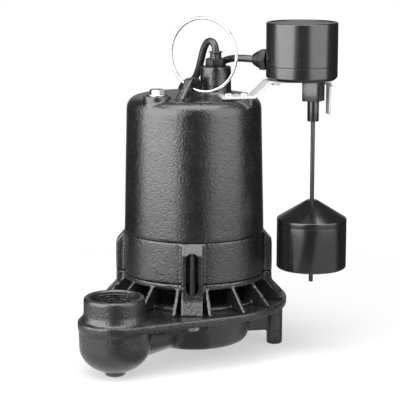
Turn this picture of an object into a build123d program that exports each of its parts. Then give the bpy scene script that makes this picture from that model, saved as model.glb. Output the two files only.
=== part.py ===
from build123d import *
import math
import os

# Submersible sump pump with a top inlet strainer and a vertical float switch.
# Millimetres. Z is up, the motor axis is the Z axis, and the feet stand on z = 0.
# -Y is the front; the discharge socket is at front left, the float switch at the right.

# ---------------------------------------------------------------- driving dimensions
# levels
foot_height = 9.5            # floor of the pump casing above the feet
casing_depth = 36.5          # casing floor to the underside of its flange
flange_thickness = 7.5
strainer_height = 26.5       # flange top to the seal housing
seal_housing_height = 40.0
motor_housing_height = 132.5

# motor housing
housing_radius = 68.3        # at its lower edge
housing_draft = 3.1          # how much smaller the radius is under the shoulder
shoulder_radius = 12.0
stator_bore_radius = 60.0
roof_thickness = 6.5
bearing_pocket_depth = 14.0
bearing_boss_wall = 3.5

# cord tower, lifting ear and filler boss on the housing roof
tower_x, tower_y = 21.0, 2.0
tower_radius = 14.9
tower_height = 28.0
tower_bore_radius = 7.5
tower_foot_radius = 18.0
tower_foot_height = 2.5
ear_x, ear_y = -2.7, -17.6
ear_turn = 28.0              # the ear's thickness runs along X turned by minus this angle
ear_thickness = 7.8
ear_length = 44.0
ear_height = 18.5
ear_hole_height = 10.5
ear_hole_offset = -4.0        # towards the front, from the middle of the plate
ear_hole_radius = 4.2
filler_x, filler_y = -35.0, -36.0
filler_radius = 13.3
filler_height = 4.0
filler_bore_radius = 6.0
filler_recess_depth = 1.5
filler_rim_width = 3.0
plug_washer_radius = 9.0
plug_washer_thickness = 1.2
plug_flange_radius = 8.4
plug_flange_thickness = 1.6
plug_head_apothem = 6.2
plug_head_height = 5.6

# seal housing, lugs and tie bolts
lug_count = 4
lug_turn = -1.2
lug_radius = 76.5            # outer face of the lugs
lug_width = 20.4
slot_width = 14.0
slot_back_radius = 66.5
slot_top_below_seam = 8.0
slot_bottom_above_flange = 18.0
bolt_circle_radius = 72.0
bolt_radius = 3.1
bolt_hole_radius = 3.4
bolt_head_flats = 11.1
bolt_head_height = 5.0
hood_height = 10.0
bolt_stop_below_seam = 4.0
oil_chamber_radius = 61.0
bulkhead_thickness = 8.0
spigot_height = 6.0
spigot_wall = 5.0
seal_hub_radius = 22.0
seal_hub_drop = 8.0

# strainer
rib_count = 16
rib_thickness = 3.2
strainer_ring_height = 6.0
strainer_ring_radius = 69.5
strainer_ring_inner = 58.0
strainer_plate_thickness = 3.5
eye_radius = 24.0
rib_foot_radius = 89.5
rib_foot_height = 1.5
eye_lip_width = 3.5
eye_lip_height = 2.5

# pump casing (volute)
flange_radius = 91.5
drum_top_radius = 60.0
drum_bottom_radius = 52.0
drum_corner_radius = 9.0
casing_floor = 4.0
chamber_radius = 47.0
discharge_x, discharge_y = -74.0, -95.6
bulb_radius = 33.5
bulb_bottom = 3.0
pad_radius = 34.5
pad_height = 6.5             # the collar's height at the root of the socket
socket_radius = 28.7
socket_top = 75.6
socket_bore_radius = 24.2    # root of a 1-1/2 inch pipe thread
socket_bore_depth = 20.0
elbow_bore_radius = 19.0
throat_radius = 19.5
throat_bore_radius = 13.5
throat_level = 28.5
leg_x, leg_y = 80.7, 13.3
rear_leg_x, rear_leg_y = -41.0, 70.5
leg_radius = 8.3
bulb_foot_radius = 9.8
web_thickness = 7.0
web_bottom = 14.0
bolt_boss_radius = 8.0
bolt_boss_height = 4.5
gusset_angle = 14.0
gusset_thickness = 3.6
gusset_reach = 18.0
gusset_height = 16.0

# rotor, bearings, seal and impeller
shaft_radius = 8.0
upper_journal_radius = 6.0
lower_journal_radius = 8.5
wet_shaft_radius = 6.35
running_clearance = 0.05
seat_clearance = 0.1
upper_bearing_radius = 16.0
upper_bearing_height = 10.0
lower_bearing_radius = 20.0
lower_bearing_height = 12.0
stator_height = 56.0
stator_bottom = 142.0
stator_inner_radius = 30.0
air_gap = 0.5
winding_overhang = 16.0
winding_inner_radius = 34.0
winding_outer_radius = 55.0
impeller_radius = 40.0
impeller_shroud_thickness = 3.0
impeller_bottom = 20.0
impeller_hub_radius = 11.0
vane_count = 6
vane_thickness = 3.0
vane_clearance = 1.0

# cord gland
gland_flats = 17.6
gland_nut_height = 7.6
gland_bore_radius = 5.9
relief_root_radius = 5.8
relief_lip_radius = 6.6
cord_radius = 3.5

# lifting ring
ring_radius = 34.9           # to the middle of the wire
ring_wire_radius = 1.4
ring_lean = 26.2             # how far the ring's centre lies off the hole, in degrees

# float switch and its bracket
bracket_turn = 11.5
bracket_start_x, bracket_start_y = 25.0, -35.0
bracket_width = 25.0
bracket_thickness = 2.0
bracket_pad_height = 1.5
bracket_foot_length = 31.0
bracket_rise = 14.0
bracket_run = 15.0
bracket_length = 108.0
tab_drop = 32.0
tab_width = 14.0
screw_hole_radius = 2.3
screw_head_radius = 4.2
screw_head_height = 2.6
screw_shank_radius = 1.9
switch_x, switch_y = 103.0, -19.0
switch_radius = 34.3
switch_base_height = 13.5
switch_height = 54.7
switch_wall = 2.5
switch_gland_height = 14.0
block_turn = 30.0
block_size = 16.6
block_height = 19.0
stem_radius = 5.7
stem_height = 19.5
rod_x, rod_y = 114.5, -17.5
rod_radius = 2.05
rod_bottom = 71.0
rod_lift = 6.0
float_radius = 33.9
float_bottom = 85.7
float_wall_height = 48.8
float_cone_height = 18.0
float_top_radius = 5.0
float_clearance = 0.08
clip_radius = 5.0
clip_height = 3.0

# ---------------------------------------------------------------- levels that follow
casing_floor_z = foot_height
flange_bottom = casing_floor_z + casing_depth
flange_top = flange_bottom + flange_thickness
strainer_top = flange_top + strainer_height
seam_z = strainer_top + seal_housing_height
roof_z = seam_z + motor_housing_height
cavity_top = roof_z - roof_thickness
housing_top_radius = housing_radius - housing_draft
tower_top = roof_z + tower_height

os.makedirs("parts", exist_ok=True)


def save(part, name):
    part.label = name
    export_step(part, f"parts/{name}.step")
    return part


def polar_point(radius, angle):
    return (radius * math.cos(math.radians(angle)), radius * math.sin(math.radians(angle)))


def turned_plane(x, y, z, angle):
    """A plane whose X runs along the horizontal direction `angle` and whose Y is up."""
    direction = Vector(math.cos(math.radians(angle)), math.sin(math.radians(angle)), 0)
    across = Vector(math.sin(math.radians(angle)), -math.cos(math.radians(angle)), 0)
    return Plane(origin=(x, y, z), x_dir=direction, z_dir=across)


lug_angles = [-90 + lug_turn + 360 / lug_count * i for i in range(lug_count)]
rib_angles = [lug_angles[0] + 360 / rib_count * (i + 0.5) for i in range(rib_count)]

# ---------------------------------------------------------------- motor housing
bearing_boss_radius = upper_bearing_radius + bearing_boss_wall
ear_base = roof_z - 3.0
ear_hole_z = roof_z + ear_hole_height

with BuildPart() as motor_housing:
    with BuildSketch(Plane.XZ):
        with BuildLine():
            Polyline(
                (0, cavity_top - bearing_pocket_depth),
                (bearing_boss_radius, cavity_top - bearing_pocket_depth),
                (bearing_boss_radius, cavity_top),
                (stator_bore_radius, cavity_top),
                (stator_bore_radius, seam_z),
                (housing_radius, seam_z),
                (housing_top_radius, roof_z - shoulder_radius),
                (housing_top_radius, roof_z),
                (0, roof_z),
                close=True,
            )
        make_face()
        corner = vertices().sort_by_distance((housing_top_radius, roof_z))[0]
        fillet(corner, shoulder_radius)
    revolve(axis=Axis.Z)
    # pocket of the upper bearing
    with BuildSketch(Plane.XY.offset(cavity_top - bearing_pocket_depth)):
        Circle(upper_bearing_radius + seat_clearance)
    extrude(amount=bearing_pocket_depth, mode=Mode.SUBTRACT)
    # cord tower with its foot
    with BuildSketch(Plane.XY.offset(cavity_top)):
        with Locations((tower_x, tower_y)):
            Circle(tower_radius)
    extrude(amount=tower_top - cavity_top)
    tower_rim = motor_housing.edges().filter_by(GeomType.CIRCLE).group_by(Axis.Z)[-1]
    chamfer(tower_rim, 1.0)
    with BuildSketch(Plane.XY.offset(cavity_top)):
        with Locations((tower_x, tower_y)):
            Circle(tower_foot_radius)
    extrude(amount=roof_z + tower_foot_height - cavity_top)
    # filler boss
    with BuildSketch(Plane.XY.offset(cavity_top)):
        with Locations((filler_x, filler_y)):
            Circle(filler_radius)
    extrude(amount=roof_z + filler_height - cavity_top)
    with BuildSketch(Plane.XY.offset(roof_z + filler_height)):
        with Locations((filler_x, filler_y)):
            Circle(filler_radius - filler_rim_width)
    extrude(amount=-filler_recess_depth, mode=Mode.SUBTRACT)
    # pads under the switch bracket
    with BuildSketch(Plane.XY.offset(cavity_top)):
        with Locations(Location((bracket_start_x, bracket_start_y, 0), bracket_turn)):
            with Locations((bracket_foot_length / 2, 0)):
                RectangleRounded(bracket_foot_length, bracket_width - 4, 4)
    extrude(amount=roof_z + bracket_pad_height - cavity_top)
    # lifting ear: a plate that narrows to a round top
    with BuildSketch(turned_plane(ear_x, ear_y, 0, 90 - ear_turn)):
        with BuildLine():
            Polyline(
                (-ear_length / 2, ear_base),
                (ear_length / 2, ear_base),
                (ear_length * 0.20, roof_z + ear_height),
                (-ear_length * 0.22, roof_z + ear_height),
                close=True,
            )
        make_face()
        fillet(vertices().group_by(Axis.Y)[-1], 6.0)
        with Locations((ear_hole_offset, ear_hole_z)):
            Circle(ear_hole_radius, mode=Mode.SUBTRACT)
    extrude(amount=ear_thickness / 2, both=True)
    # bores: cord way, filler hole and bracket screw holes
    with BuildSketch(Plane.XY.offset(cavity_top - 0.5)):
        with Locations((tower_x, tower_y)):
            Circle(tower_bore_radius)
    extrude(amount=tower_top - cavity_top + 1, mode=Mode.SUBTRACT)
    with BuildSketch(Plane.XY.offset(cavity_top - 0.5)):
        with Locations((filler_x, filler_y)):
            Circle(filler_bore_radius)
    extrude(amount=roof_thickness + filler_height + 1, mode=Mode.SUBTRACT)
save(motor_housing.part, "motor_housing")

# ---------------------------------------------------------------- seal housing
lower_pocket_floor = strainer_top + bulkhead_thickness
hub_bottom = strainer_top - seal_hub_drop
hub_ring_top = lower_pocket_floor + lower_bearing_height + 3.0
slot_top = seam_z - slot_top_below_seam
slot_bottom = flange_top + slot_bottom_above_flange
hood_foot = seam_z - hood_height
bolt_top = seam_z - bolt_stop_below_seam


def lug_slot(angle):
    """The open slot in a lug, round at both ends, that shows the tie bolt."""
    depth = lug_radius - slot_back_radius + 5
    plane = turned_plane(0, 0, 0, angle + 90)
    with BuildPart(mode=Mode.PRIVATE) as cut:
        with BuildSketch(plane.offset(slot_back_radius)):
            with Locations((0, (slot_top + slot_bottom) / 2)):
                SlotOverall(slot_top - slot_bottom, slot_width, rotation=90)
        extrude(amount=depth)
    return cut.part


with BuildPart() as seal_housing:
    with BuildSketch(Plane.XZ):
        with BuildLine():
            Polyline(
                (0, hub_bottom),
                (seal_hub_radius, hub_bottom),
                (seal_hub_radius, strainer_top),
                (strainer_ring_radius, strainer_top),
                (housing_radius, seam_z),
                (stator_bore_radius - seat_clearance, seam_z),
                (stator_bore_radius - seat_clearance, seam_z + spigot_height),
                (stator_bore_radius - spigot_wall, seam_z + spigot_height),
                (stator_bore_radius - spigot_wall, lower_pocket_floor),
                (lower_bearing_radius + 6, lower_pocket_floor),
                (lower_bearing_radius + 4, hub_ring_top),
                (0, hub_ring_top),
                close=True,
            )
        make_face()
    revolve(axis=Axis.Z)
    for angle in lug_angles:
        with BuildSketch(turned_plane(0, 0, 0, angle)):
            with BuildLine():
                Polyline(
                    (oil_chamber_radius, strainer_top),
                    (lug_radius, strainer_top),
                    (lug_radius, hood_foot),
                    (housing_radius, seam_z - 0.3),
                    (oil_chamber_radius, seam_z - 0.3),
                    close=True,
                )
            make_face()
        extrude(amount=lug_width / 2, both=True)
    # bearing pocket and seal bore
    with BuildSketch(Plane.XY.offset(lower_pocket_floor)):
        Circle(lower_bearing_radius + seat_clearance)
    extrude(amount=lower_bearing_height + 3, mode=Mode.SUBTRACT)
    with BuildSketch(Plane.XY.offset(hub_bottom)):
        Circle(lower_journal_radius + 1.5)
    extrude(amount=lower_pocket_floor - hub_bottom, mode=Mode.SUBTRACT)
    with BuildSketch(Plane.XY.offset(hub_bottom)):
        Circle(seal_hub_radius - 7.9)
    extrude(amount=6.0, mode=Mode.SUBTRACT)
    # lug slots and the threaded holes that the tie bolts reach
    for angle in lug_angles:
        add(lug_slot(angle), mode=Mode.SUBTRACT)
    with BuildSketch(Plane.XY.offset(strainer_top - 0.5)):
        with Locations(*[polar_point(bolt_circle_radius, angle) for angle in lug_angles]):
            Circle(bolt_hole_radius)
    extrude(amount=bolt_top + 1 - strainer_top, mode=Mode.SUBTRACT)
save(seal_housing.part, "seal_housing")

# O-ring round the spigot: it lies in a groove of the housing's lower edge
with BuildPart() as housing_gasket:
    with BuildSketch(Plane.XY.offset(seam_z + spigot_height + 0.1)):
        Circle(stator_bore_radius - 0.3)
        Circle(stator_bore_radius - spigot_wall + 0.3, mode=Mode.SUBTRACT)
    extrude(amount=1.6)
save(housing_gasket.part, "housing_gasket")

# ---------------------------------------------------------------- strainer
strainer_plate_top = flange_top + strainer_plate_thickness
ring_bottom = strainer_top - strainer_ring_height

with BuildPart() as strainer:
    with BuildSketch(Plane.XY.offset(ring_bottom)):
        Circle(strainer_ring_radius)
        Circle(strainer_ring_inner, mode=Mode.SUBTRACT)
    extrude(amount=strainer_ring_height)
    with BuildSketch(Plane.XY.offset(flange_top)):
        Circle(strainer_ring_radius)
        Circle(eye_radius, mode=Mode.SUBTRACT)
    extrude(amount=strainer_plate_thickness)
    # raised lip round the suction eye
    with BuildSketch(Plane.XY.offset(flange_top)):
        Circle(eye_radius + eye_lip_width)
        Circle(eye_radius, mode=Mode.SUBTRACT)
    extrude(amount=strainer_plate_thickness + eye_lip_height)
    for angle in rib_angles:
        with BuildSketch(turned_plane(0, 0, 0, angle)):
            with BuildLine():
                Polyline(
                    (strainer_ring_inner, flange_top),
                    (rib_foot_radius, flange_top),
                    (rib_foot_radius, flange_top + rib_foot_height),
                    (strainer_ring_radius, ring_bottom + 1.0),
                    (strainer_ring_inner, ring_bottom + 1.0),
                    close=True,
                )
            make_face()
        extrude(amount=rib_thickness / 2, both=True)
    for angle in lug_angles:
        with BuildSketch(turned_plane(0, 0, 0, angle)):
            with BuildLine():
                Polyline(
                    (strainer_ring_inner + 3, flange_top),
                    (rib_foot_radius - 3, flange_top),
                    (lug_radius + 1, slot_bottom - 5),
                    (lug_radius, slot_bottom),
                    (lug_radius, strainer_top),
                    (strainer_ring_inner + 3, strainer_top),
                    close=True,
                )
            make_face()
        extrude(amount=lug_width / 2, both=True)
    for angle in lug_angles:
        add(lug_slot(angle), mode=Mode.SUBTRACT)
    with BuildSketch(Plane.XY.offset(flange_top)):
        with Locations(*[polar_point(bolt_circle_radius, angle) for angle in lug_angles]):
            Circle(bolt_hole_radius)
    extrude(amount=strainer_height, mode=Mode.SUBTRACT)
save(strainer.part, "strainer")

# ---------------------------------------------------------------- pump casing
boss_bottom = flange_bottom - bolt_boss_height
bulb_centre = (discharge_x, discharge_y)
bulb_angle = math.degrees(math.atan2(discharge_y, discharge_x))
bulb_distance = math.hypot(discharge_x, discharge_y)

with BuildPart() as bulb_solid:
    with BuildSketch(Plane.XZ):
        with BuildLine():
            Line((bulb_radius, flange_bottom), (bulb_radius, throat_level))
            EllipticalCenterArc(
                (0, throat_level),
                bulb_radius,
                throat_level - bulb_bottom,
                start_angle=-90,
                arc_size=90,
            )
            Line((0, bulb_bottom), (0, flange_bottom))
            Line((0, flange_bottom), (bulb_radius, flange_bottom))
        make_face()
    revolve(axis=Axis.Z)
    with BuildSketch(Plane.XY.offset(flange_bottom)):
        Circle(pad_radius)
    extrude(amount=pad_height)
    with BuildSketch(Plane.XY.offset(flange_bottom)):
        Circle(socket_radius)
    extrude(amount=socket_top - flange_bottom)
    rim = bulb_solid.edges().filter_by(GeomType.CIRCLE).group_by(Axis.Z)[-1]
    fillet(rim, 2.2)
    with BuildSketch(Plane.XY):
        Circle(bulb_foot_radius)
    extrude(amount=throat_level)

with BuildPart() as volute:
    # drum
    with BuildSketch(Plane.XZ):
        with BuildLine():
            Polyline(
                (0, casing_floor_z),
                (drum_bottom_radius, casing_floor_z),
                (drum_top_radius, flange_bottom),
                (drum_top_radius, flange_top),
                (0, flange_top),
                close=True,
            )
        make_face()
        fillet(vertices().sort_by_distance((drum_bottom_radius, casing_floor_z))[0], drum_corner_radius)
    revolve(axis=Axis.Z)
    # flange with the pad of the discharge socket
    with BuildSketch(Plane.XY.offset(flange_bottom)):
        Circle(flange_radius)
        with Locations(bulb_centre):
            Circle(pad_radius)
        make_hull()
    extrude(amount=flange_thickness)
    # discharge elbow
    with Locations(bulb_centre):
        add(bulb_solid.part)
    # throat from the drum to the elbow
    with BuildSketch(turned_plane(0, 0, 0, bulb_angle + 90).offset(drum_top_radius - 20)):
        with Locations((0, throat_level)):
            Circle(throat_radius)
    extrude(amount=bulb_distance - drum_top_radius + 20)
    # bolt bosses under the flange, with small gussets beside them
    with BuildSketch(Plane.XY.offset(boss_bottom)):
        with Locations(*[polar_point(bolt_circle_radius, angle) for angle in lug_angles]):
            Circle(bolt_boss_radius)
    extrude(amount=flange_bottom - boss_bottom)
    for angle in lug_angles:
        for side in (-1, 1):
            with BuildSketch(turned_plane(0, 0, 0, angle + gusset_angle * side)):
                with BuildLine():
                    Polyline(
                        (drum_bottom_radius, flange_bottom),
                        (drum_top_radius + gusset_reach, flange_bottom),
                        (drum_top_radius - 4, flange_bottom - gusset_height),
                        (drum_bottom_radius, flange_bottom - gusset_height),
                        close=True,
                    )
                make_face()
            extrude(amount=gusset_thickness / 2, both=True)
    # legs and their webs
    for x, y in ((leg_x, leg_y), (rear_leg_x, rear_leg_y)):
        with BuildSketch(Plane.XY):
            with Locations((x, y)):
                Circle(leg_radius - 0.4)
        extrude(amount=flange_bottom)
        with BuildSketch(turned_plane(0, 0, 0, math.degrees(math.atan2(y, x)))):
            with BuildLine():
                Polyline(
                    (drum_bottom_radius - 6, web_bottom),
                    (math.hypot(x, y), web_bottom),
                    (math.hypot(x, y), flange_bottom),
                    (drum_bottom_radius - 6, flange_bottom),
                    close=True,
                )
            make_face()
        extrude(amount=web_thickness / 2, both=True)
    # impeller chamber
    with BuildSketch(Plane.XY.offset(casing_floor_z + casing_floor)):
        Circle(chamber_radius)
    extrude(amount=flange_top - casing_floor_z - casing_floor, mode=Mode.SUBTRACT)
    # waterway: out of the chamber, into the elbow and up the socket
    with BuildSketch(turned_plane(0, 0, 0, bulb_angle + 90).offset(chamber_radius - 12)):
        with Locations((0, throat_level)):
            Circle(throat_bore_radius)
    extrude(amount=bulb_distance - chamber_radius + 12, mode=Mode.SUBTRACT)
    with BuildSketch(Plane.XY.offset(throat_level)):
        with Locations(bulb_centre):
            Circle(elbow_bore_radius)
    extrude(amount=socket_top - throat_level, mode=Mode.SUBTRACT)
    with Locations((discharge_x, discharge_y, throat_level)):
        Sphere(elbow_bore_radius, mode=Mode.SUBTRACT)
    with BuildSketch(Plane.XY.offset(socket_top)):
        with Locations(bulb_centre):
            Circle(socket_bore_radius)
    extrude(amount=-socket_bore_depth, mode=Mode.SUBTRACT)
    # holes of the tie bolts
    with BuildSketch(Plane.XY.offset(boss_bottom)):
        with Locations(*[polar_point(bolt_circle_radius, angle) for angle in lug_angles]):
            Circle(bolt_hole_radius)
    extrude(amount=flange_top - boss_bottom, mode=Mode.SUBTRACT)
save(volute.part, "volute")

# ---------------------------------------------------------------- tie bolts
with BuildPart() as tie_bolts:
    with BuildSketch(Plane.XY.offset(boss_bottom)):
        with Locations(*[polar_point(bolt_circle_radius, angle) for angle in lug_angles]):
            Circle(bolt_radius)
    extrude(amount=bolt_top - boss_bottom)
    with BuildSketch(Plane.XY.offset(boss_bottom)):
        with Locations(*[polar_point(bolt_circle_radius, angle) for angle in lug_angles]):
            RegularPolygon(bolt_head_flats / 2, 6, major_radius=False)
    extrude(amount=-bolt_head_height)
save(tie_bolts.part, "tie_bolts")

# ---------------------------------------------------------------- motor
stator_top = stator_bottom + stator_height
upper_bearing_top = cavity_top - 4.0
upper_bearing_bottom = upper_bearing_top - upper_bearing_height
shaft_bottom = casing_floor_z + casing_floor + 2.0
vane_top = flange_top - vane_clearance


def ring_solid(bottom, height, outer, inner):
    """A plain ring round the motor axis."""
    with BuildPart(mode=Mode.PRIVATE) as ring:
        with BuildSketch(Plane.XY.offset(bottom)):
            Circle(outer)
            Circle(inner, mode=Mode.SUBTRACT)
        extrude(amount=height)
    return ring.part


with BuildPart() as stator_core:
    with BuildSketch(Plane.XY.offset(stator_bottom)):
        Circle(stator_bore_radius - seat_clearance)
        Circle(stator_inner_radius, mode=Mode.SUBTRACT)
        with PolarLocations((winding_inner_radius + winding_outer_radius) / 2 - 4, 24):
            SlotOverall(12, 4.2, mode=Mode.SUBTRACT)
    extrude(amount=stator_height)
save(stator_core.part, "stator_core")

with BuildPart() as stator_windings:
    for bottom in (stator_bottom - winding_overhang, stator_top):
        with BuildSketch(Plane.XY.offset(bottom)):
            Circle(winding_outer_radius - 2)
            Circle(winding_inner_radius, mode=Mode.SUBTRACT)
        extrude(amount=winding_overhang)
    fillet(stator_windings.edges().filter_by(GeomType.CIRCLE).group_by(Axis.Z)[0], 5)
    fillet(stator_windings.edges().filter_by(GeomType.CIRCLE).group_by(Axis.Z)[-1], 5)
save(stator_windings.part, "stator_windings")

with BuildPart() as thermal_protector:
    with BuildSketch(Plane.XY.offset(stator_top + winding_overhang + 0.3)):
        with Locations(Location((*polar_point(43, 150), 0), 60)):
            RectangleRounded(22, 9, 2)
    extrude(amount=7)
save(thermal_protector.part, "thermal_protector")

with BuildPart() as motor_shaft:
    with BuildSketch(Plane.XZ):
        with BuildLine():
            Polyline(
                (0, shaft_bottom),
                (wet_shaft_radius, shaft_bottom),
                (wet_shaft_radius, hub_bottom + 6.5),
                (lower_journal_radius, hub_bottom + 6.5),
                (lower_journal_radius, hub_ring_top + 2),
                (lower_journal_radius + 1.5, hub_ring_top + 2),
                (lower_journal_radius + 1.5, hub_ring_top + 5),
                (shaft_radius, hub_ring_top + 5),
                (shaft_radius, upper_bearing_bottom - 0.5),
                (upper_journal_radius, upper_bearing_bottom - 0.5),
                (upper_journal_radius, upper_bearing_top - 0.5),
                (0, upper_bearing_top - 0.5),
                close=True,
            )
        make_face()
    revolve(axis=Axis.Z)
    chamfer(motor_shaft.edges().filter_by(GeomType.CIRCLE).group_by(Axis.Z)[-1], 0.8)
save(motor_shaft.part, "motor_shaft")

with BuildPart() as rotor_core:
    with BuildSketch(Plane.XY.offset(stator_bottom)):
        Circle(stator_inner_radius - air_gap)
        Circle(shaft_radius, mode=Mode.SUBTRACT)
    extrude(amount=stator_height)
    # end rings with their fan blades
    for level, step in ((stator_bottom, -1), (stator_top, 1)):
        with BuildSketch(Plane.XY.offset(level)):
            Circle(stator_inner_radius - 2)
            Circle(stator_inner_radius - 12, mode=Mode.SUBTRACT)
        extrude(amount=6 * step)
        with BuildSketch(Plane.XY.offset(level)):
            with PolarLocations(stator_inner_radius - 7, 6):
                Rectangle(8, 2.4)
        extrude(amount=13 * step)
save(rotor_core.part, "rotor_core")


def ball_bearing(bottom, height, outer, bore):
    """Outer race, inner race and cage face as one turned solid with grooved faces."""
    race = (outer - bore) * 0.28
    with BuildPart(mode=Mode.PRIVATE) as bearing:
        with BuildSketch(Plane.XY.offset(bottom)):
            Circle(outer)
            Circle(bore, mode=Mode.SUBTRACT)
        extrude(amount=height)
        for level, step in ((bottom, 1), (bottom + height, -1)):
            with BuildSketch(Plane.XY.offset(level)):
                Circle(outer - race)
                Circle(bore + race, mode=Mode.SUBTRACT)
            extrude(amount=1.0 * step, mode=Mode.SUBTRACT)
    return bearing.part


save(
    ball_bearing(
        upper_bearing_bottom,
        upper_bearing_height,
        upper_bearing_radius,
        upper_journal_radius + running_clearance,
    ),
    "upper_bearing",
)
save(
    ball_bearing(
        lower_pocket_floor,
        lower_bearing_height,
        lower_bearing_radius,
        lower_journal_radius + running_clearance,
    ),
    "lower_bearing",
)
save(
    ring_solid(upper_bearing_top + 0.3, 1.2, upper_bearing_radius - 0.5, upper_bearing_radius - 5),
    "wave_washer",
)
save(
    ring_solid(
        lower_pocket_floor + lower_bearing_height + 0.05,
        1.5,
        lower_bearing_radius,
        lower_bearing_radius - 4,
    ),
    "bearing_retaining_ring",
)

# ---------------------------------------------------------------- shaft seal
seat_outer = seal_hub_radius - 8.0
seal_head_height = 5.9
seal_head_bottom = hub_bottom - seal_head_height - seat_clearance
save(ring_solid(hub_bottom + 0.5, 5.4, seat_outer, wet_shaft_radius + 0.8), "seal_seat")
save(ring_solid(seal_head_bottom, seal_head_height, seat_outer - 2, wet_shaft_radius), "seal_head")
spring_wire = 0.9
spring_radius = wet_shaft_radius + 2.4
spring_bottom = vane_top + spring_wire + seat_clearance
spring_top = seal_head_bottom - spring_wire - seat_clearance
with BuildPart() as seal_spring:
    with BuildLine():
        coil_line = Helix(
            pitch=4.0,
            height=spring_top - spring_bottom,
            radius=spring_radius,
            center=(0, 0, spring_bottom),
        )
    with BuildSketch(Plane(origin=coil_line @ 0, z_dir=coil_line % 0)):
        Circle(spring_wire)
    sweep(is_frenet=True)
save(seal_spring.part, "seal_spring")

# ---------------------------------------------------------------- impeller
with BuildPart() as impeller:
    with BuildSketch(Plane.XY.offset(impeller_bottom)):
        Circle(impeller_radius)
    extrude(amount=impeller_shroud_thickness)
    with BuildSketch(Plane.XY.offset(impeller_bottom)):
        Circle(impeller_hub_radius)
    extrude(amount=vane_top - impeller_bottom)
    for i in range(vane_count):
        start = polar_point(impeller_hub_radius - 1, 360 / vane_count * i)
        middle = polar_point(impeller_radius * 0.62, 360 / vane_count * i - 25)
        end = polar_point(impeller_radius - 1.5, 360 / vane_count * i - 68)
        with BuildSketch(Plane.XY.offset(impeller_bottom + impeller_shroud_thickness)):
            with BuildLine():
                ThreePointArc(start, middle, end)
            trace(line_width=vane_thickness)
        extrude(amount=vane_top - impeller_bottom - impeller_shroud_thickness)
    with BuildSketch(Plane.XY.offset(impeller_bottom)):
        Circle(wet_shaft_radius)
    extrude(amount=vane_top - impeller_bottom, mode=Mode.SUBTRACT)
save(impeller.part, "impeller")

with BuildPart() as impeller_nut:
    with BuildSketch(Plane.XY.offset(impeller_bottom)):
        RegularPolygon(9.5, 6, major_radius=False)
        Circle(wet_shaft_radius, mode=Mode.SUBTRACT)
    extrude(amount=-4.0)
save(impeller_nut.part, "impeller_nut")

# ---------------------------------------------------------------- filler plug
filler_top = roof_z + filler_height - filler_recess_depth
plug_seat = filler_top + plug_washer_thickness
with BuildPart() as oil_plug_washer:
    with BuildSketch(Plane.XY.offset(filler_top)):
        with Locations((filler_x, filler_y)):
            Circle(plug_washer_radius)
            Circle(filler_bore_radius + 0.2, mode=Mode.SUBTRACT)
    extrude(amount=plug_washer_thickness)
save(oil_plug_washer.part, "oil_plug_washer")

with BuildPart() as oil_plug:
    with BuildSketch(Plane.XY.offset(plug_seat)):
        with Locations((filler_x, filler_y)):
            Circle(plug_flange_radius)
    extrude(amount=plug_flange_thickness)
    with BuildSketch(Plane.XY.offset(plug_seat + plug_flange_thickness)):
        with Locations((filler_x, filler_y)):
            RegularPolygon(plug_head_apothem, 6, major_radius=False)
    extrude(amount=plug_head_height)
    with BuildSketch(Plane.XY.offset(plug_seat)):
        with Locations((filler_x, filler_y)):
            Circle(filler_bore_radius - running_clearance)
    extrude(amount=-roof_thickness)
save(oil_plug.part, "oil_plug")

# ---------------------------------------------------------------- cord gland
nut_top = tower_top + gland_nut_height
lip_top = nut_top + 6.7
with BuildPart() as gland_nut:
    with BuildSketch(Plane.XY.offset(tower_top)):
        with Locations((tower_x, tower_y)):
            RegularPolygon(gland_flats / 2, 6, major_radius=False, rotation=12)
            Circle(relief_root_radius + 0.1, mode=Mode.SUBTRACT)
    extrude(amount=gland_nut_height)
save(gland_nut.part, "gland_nut")

with BuildPart() as cord_strain_relief:
    with BuildSketch(Plane.XZ):
        with BuildLine():
            Polyline(
                (0, tower_top - 16),
                (tower_bore_radius - 0.1, tower_top - 16),
                (tower_bore_radius - 0.1, tower_top - 0.1),
                (relief_root_radius, tower_top - 0.1),
                (relief_root_radius, lip_top - 1.4),
                (relief_lip_radius, lip_top - 0.9),
                (relief_lip_radius, lip_top),
                (0, lip_top),
                close=True,
            )
        make_face()
    revolve(axis=Axis.Z)
cord_strain_relief_placed = Pos(tower_x, tower_y, 0) * cord_strain_relief.part
save(cord_strain_relief_placed, "cord_strain_relief")

# ---------------------------------------------------------------- lifting ring
plate_direction = Vector(
    math.cos(math.radians(90 - ear_turn)), math.sin(math.radians(90 - ear_turn)), 0
)
ring_direction = Vector(math.cos(math.radians(ear_turn)), -math.sin(math.radians(ear_turn)), 0)
ear_hole = Vector(ear_x, ear_y, ear_hole_z) + plate_direction * ear_hole_offset
ring_centre = (
    ear_hole
    + ring_direction * (ring_radius * math.sin(math.radians(ring_lean)))
    + Vector(0, 0, ring_radius * math.cos(math.radians(ring_lean)))
)
handle_ring = Plane(origin=ring_centre, x_dir=ring_direction, z_dir=plate_direction) * Torus(
    ring_radius, ring_wire_radius
)
save(handle_ring, "handle_ring")

# ---------------------------------------------------------------- bracket
bracket_bottom = roof_z + bracket_pad_height
shelf_bottom = bracket_bottom + bracket_rise
shelf_top = shelf_bottom + bracket_thickness
bracket_plane = turned_plane(bracket_start_x, bracket_start_y, 0, bracket_turn)
bracket_along = Vector(
    math.cos(math.radians(bracket_turn)), math.sin(math.radians(bracket_turn)), 0
)
screw_steps = (8.0, 23.0)
switch_screw_step = 54.0


def bracket_point(step):
    """The point on the bracket's middle line, `step` from its start."""
    return (
        bracket_start_x + bracket_along.X * step,
        bracket_start_y + bracket_along.Y * step,
    )


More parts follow.
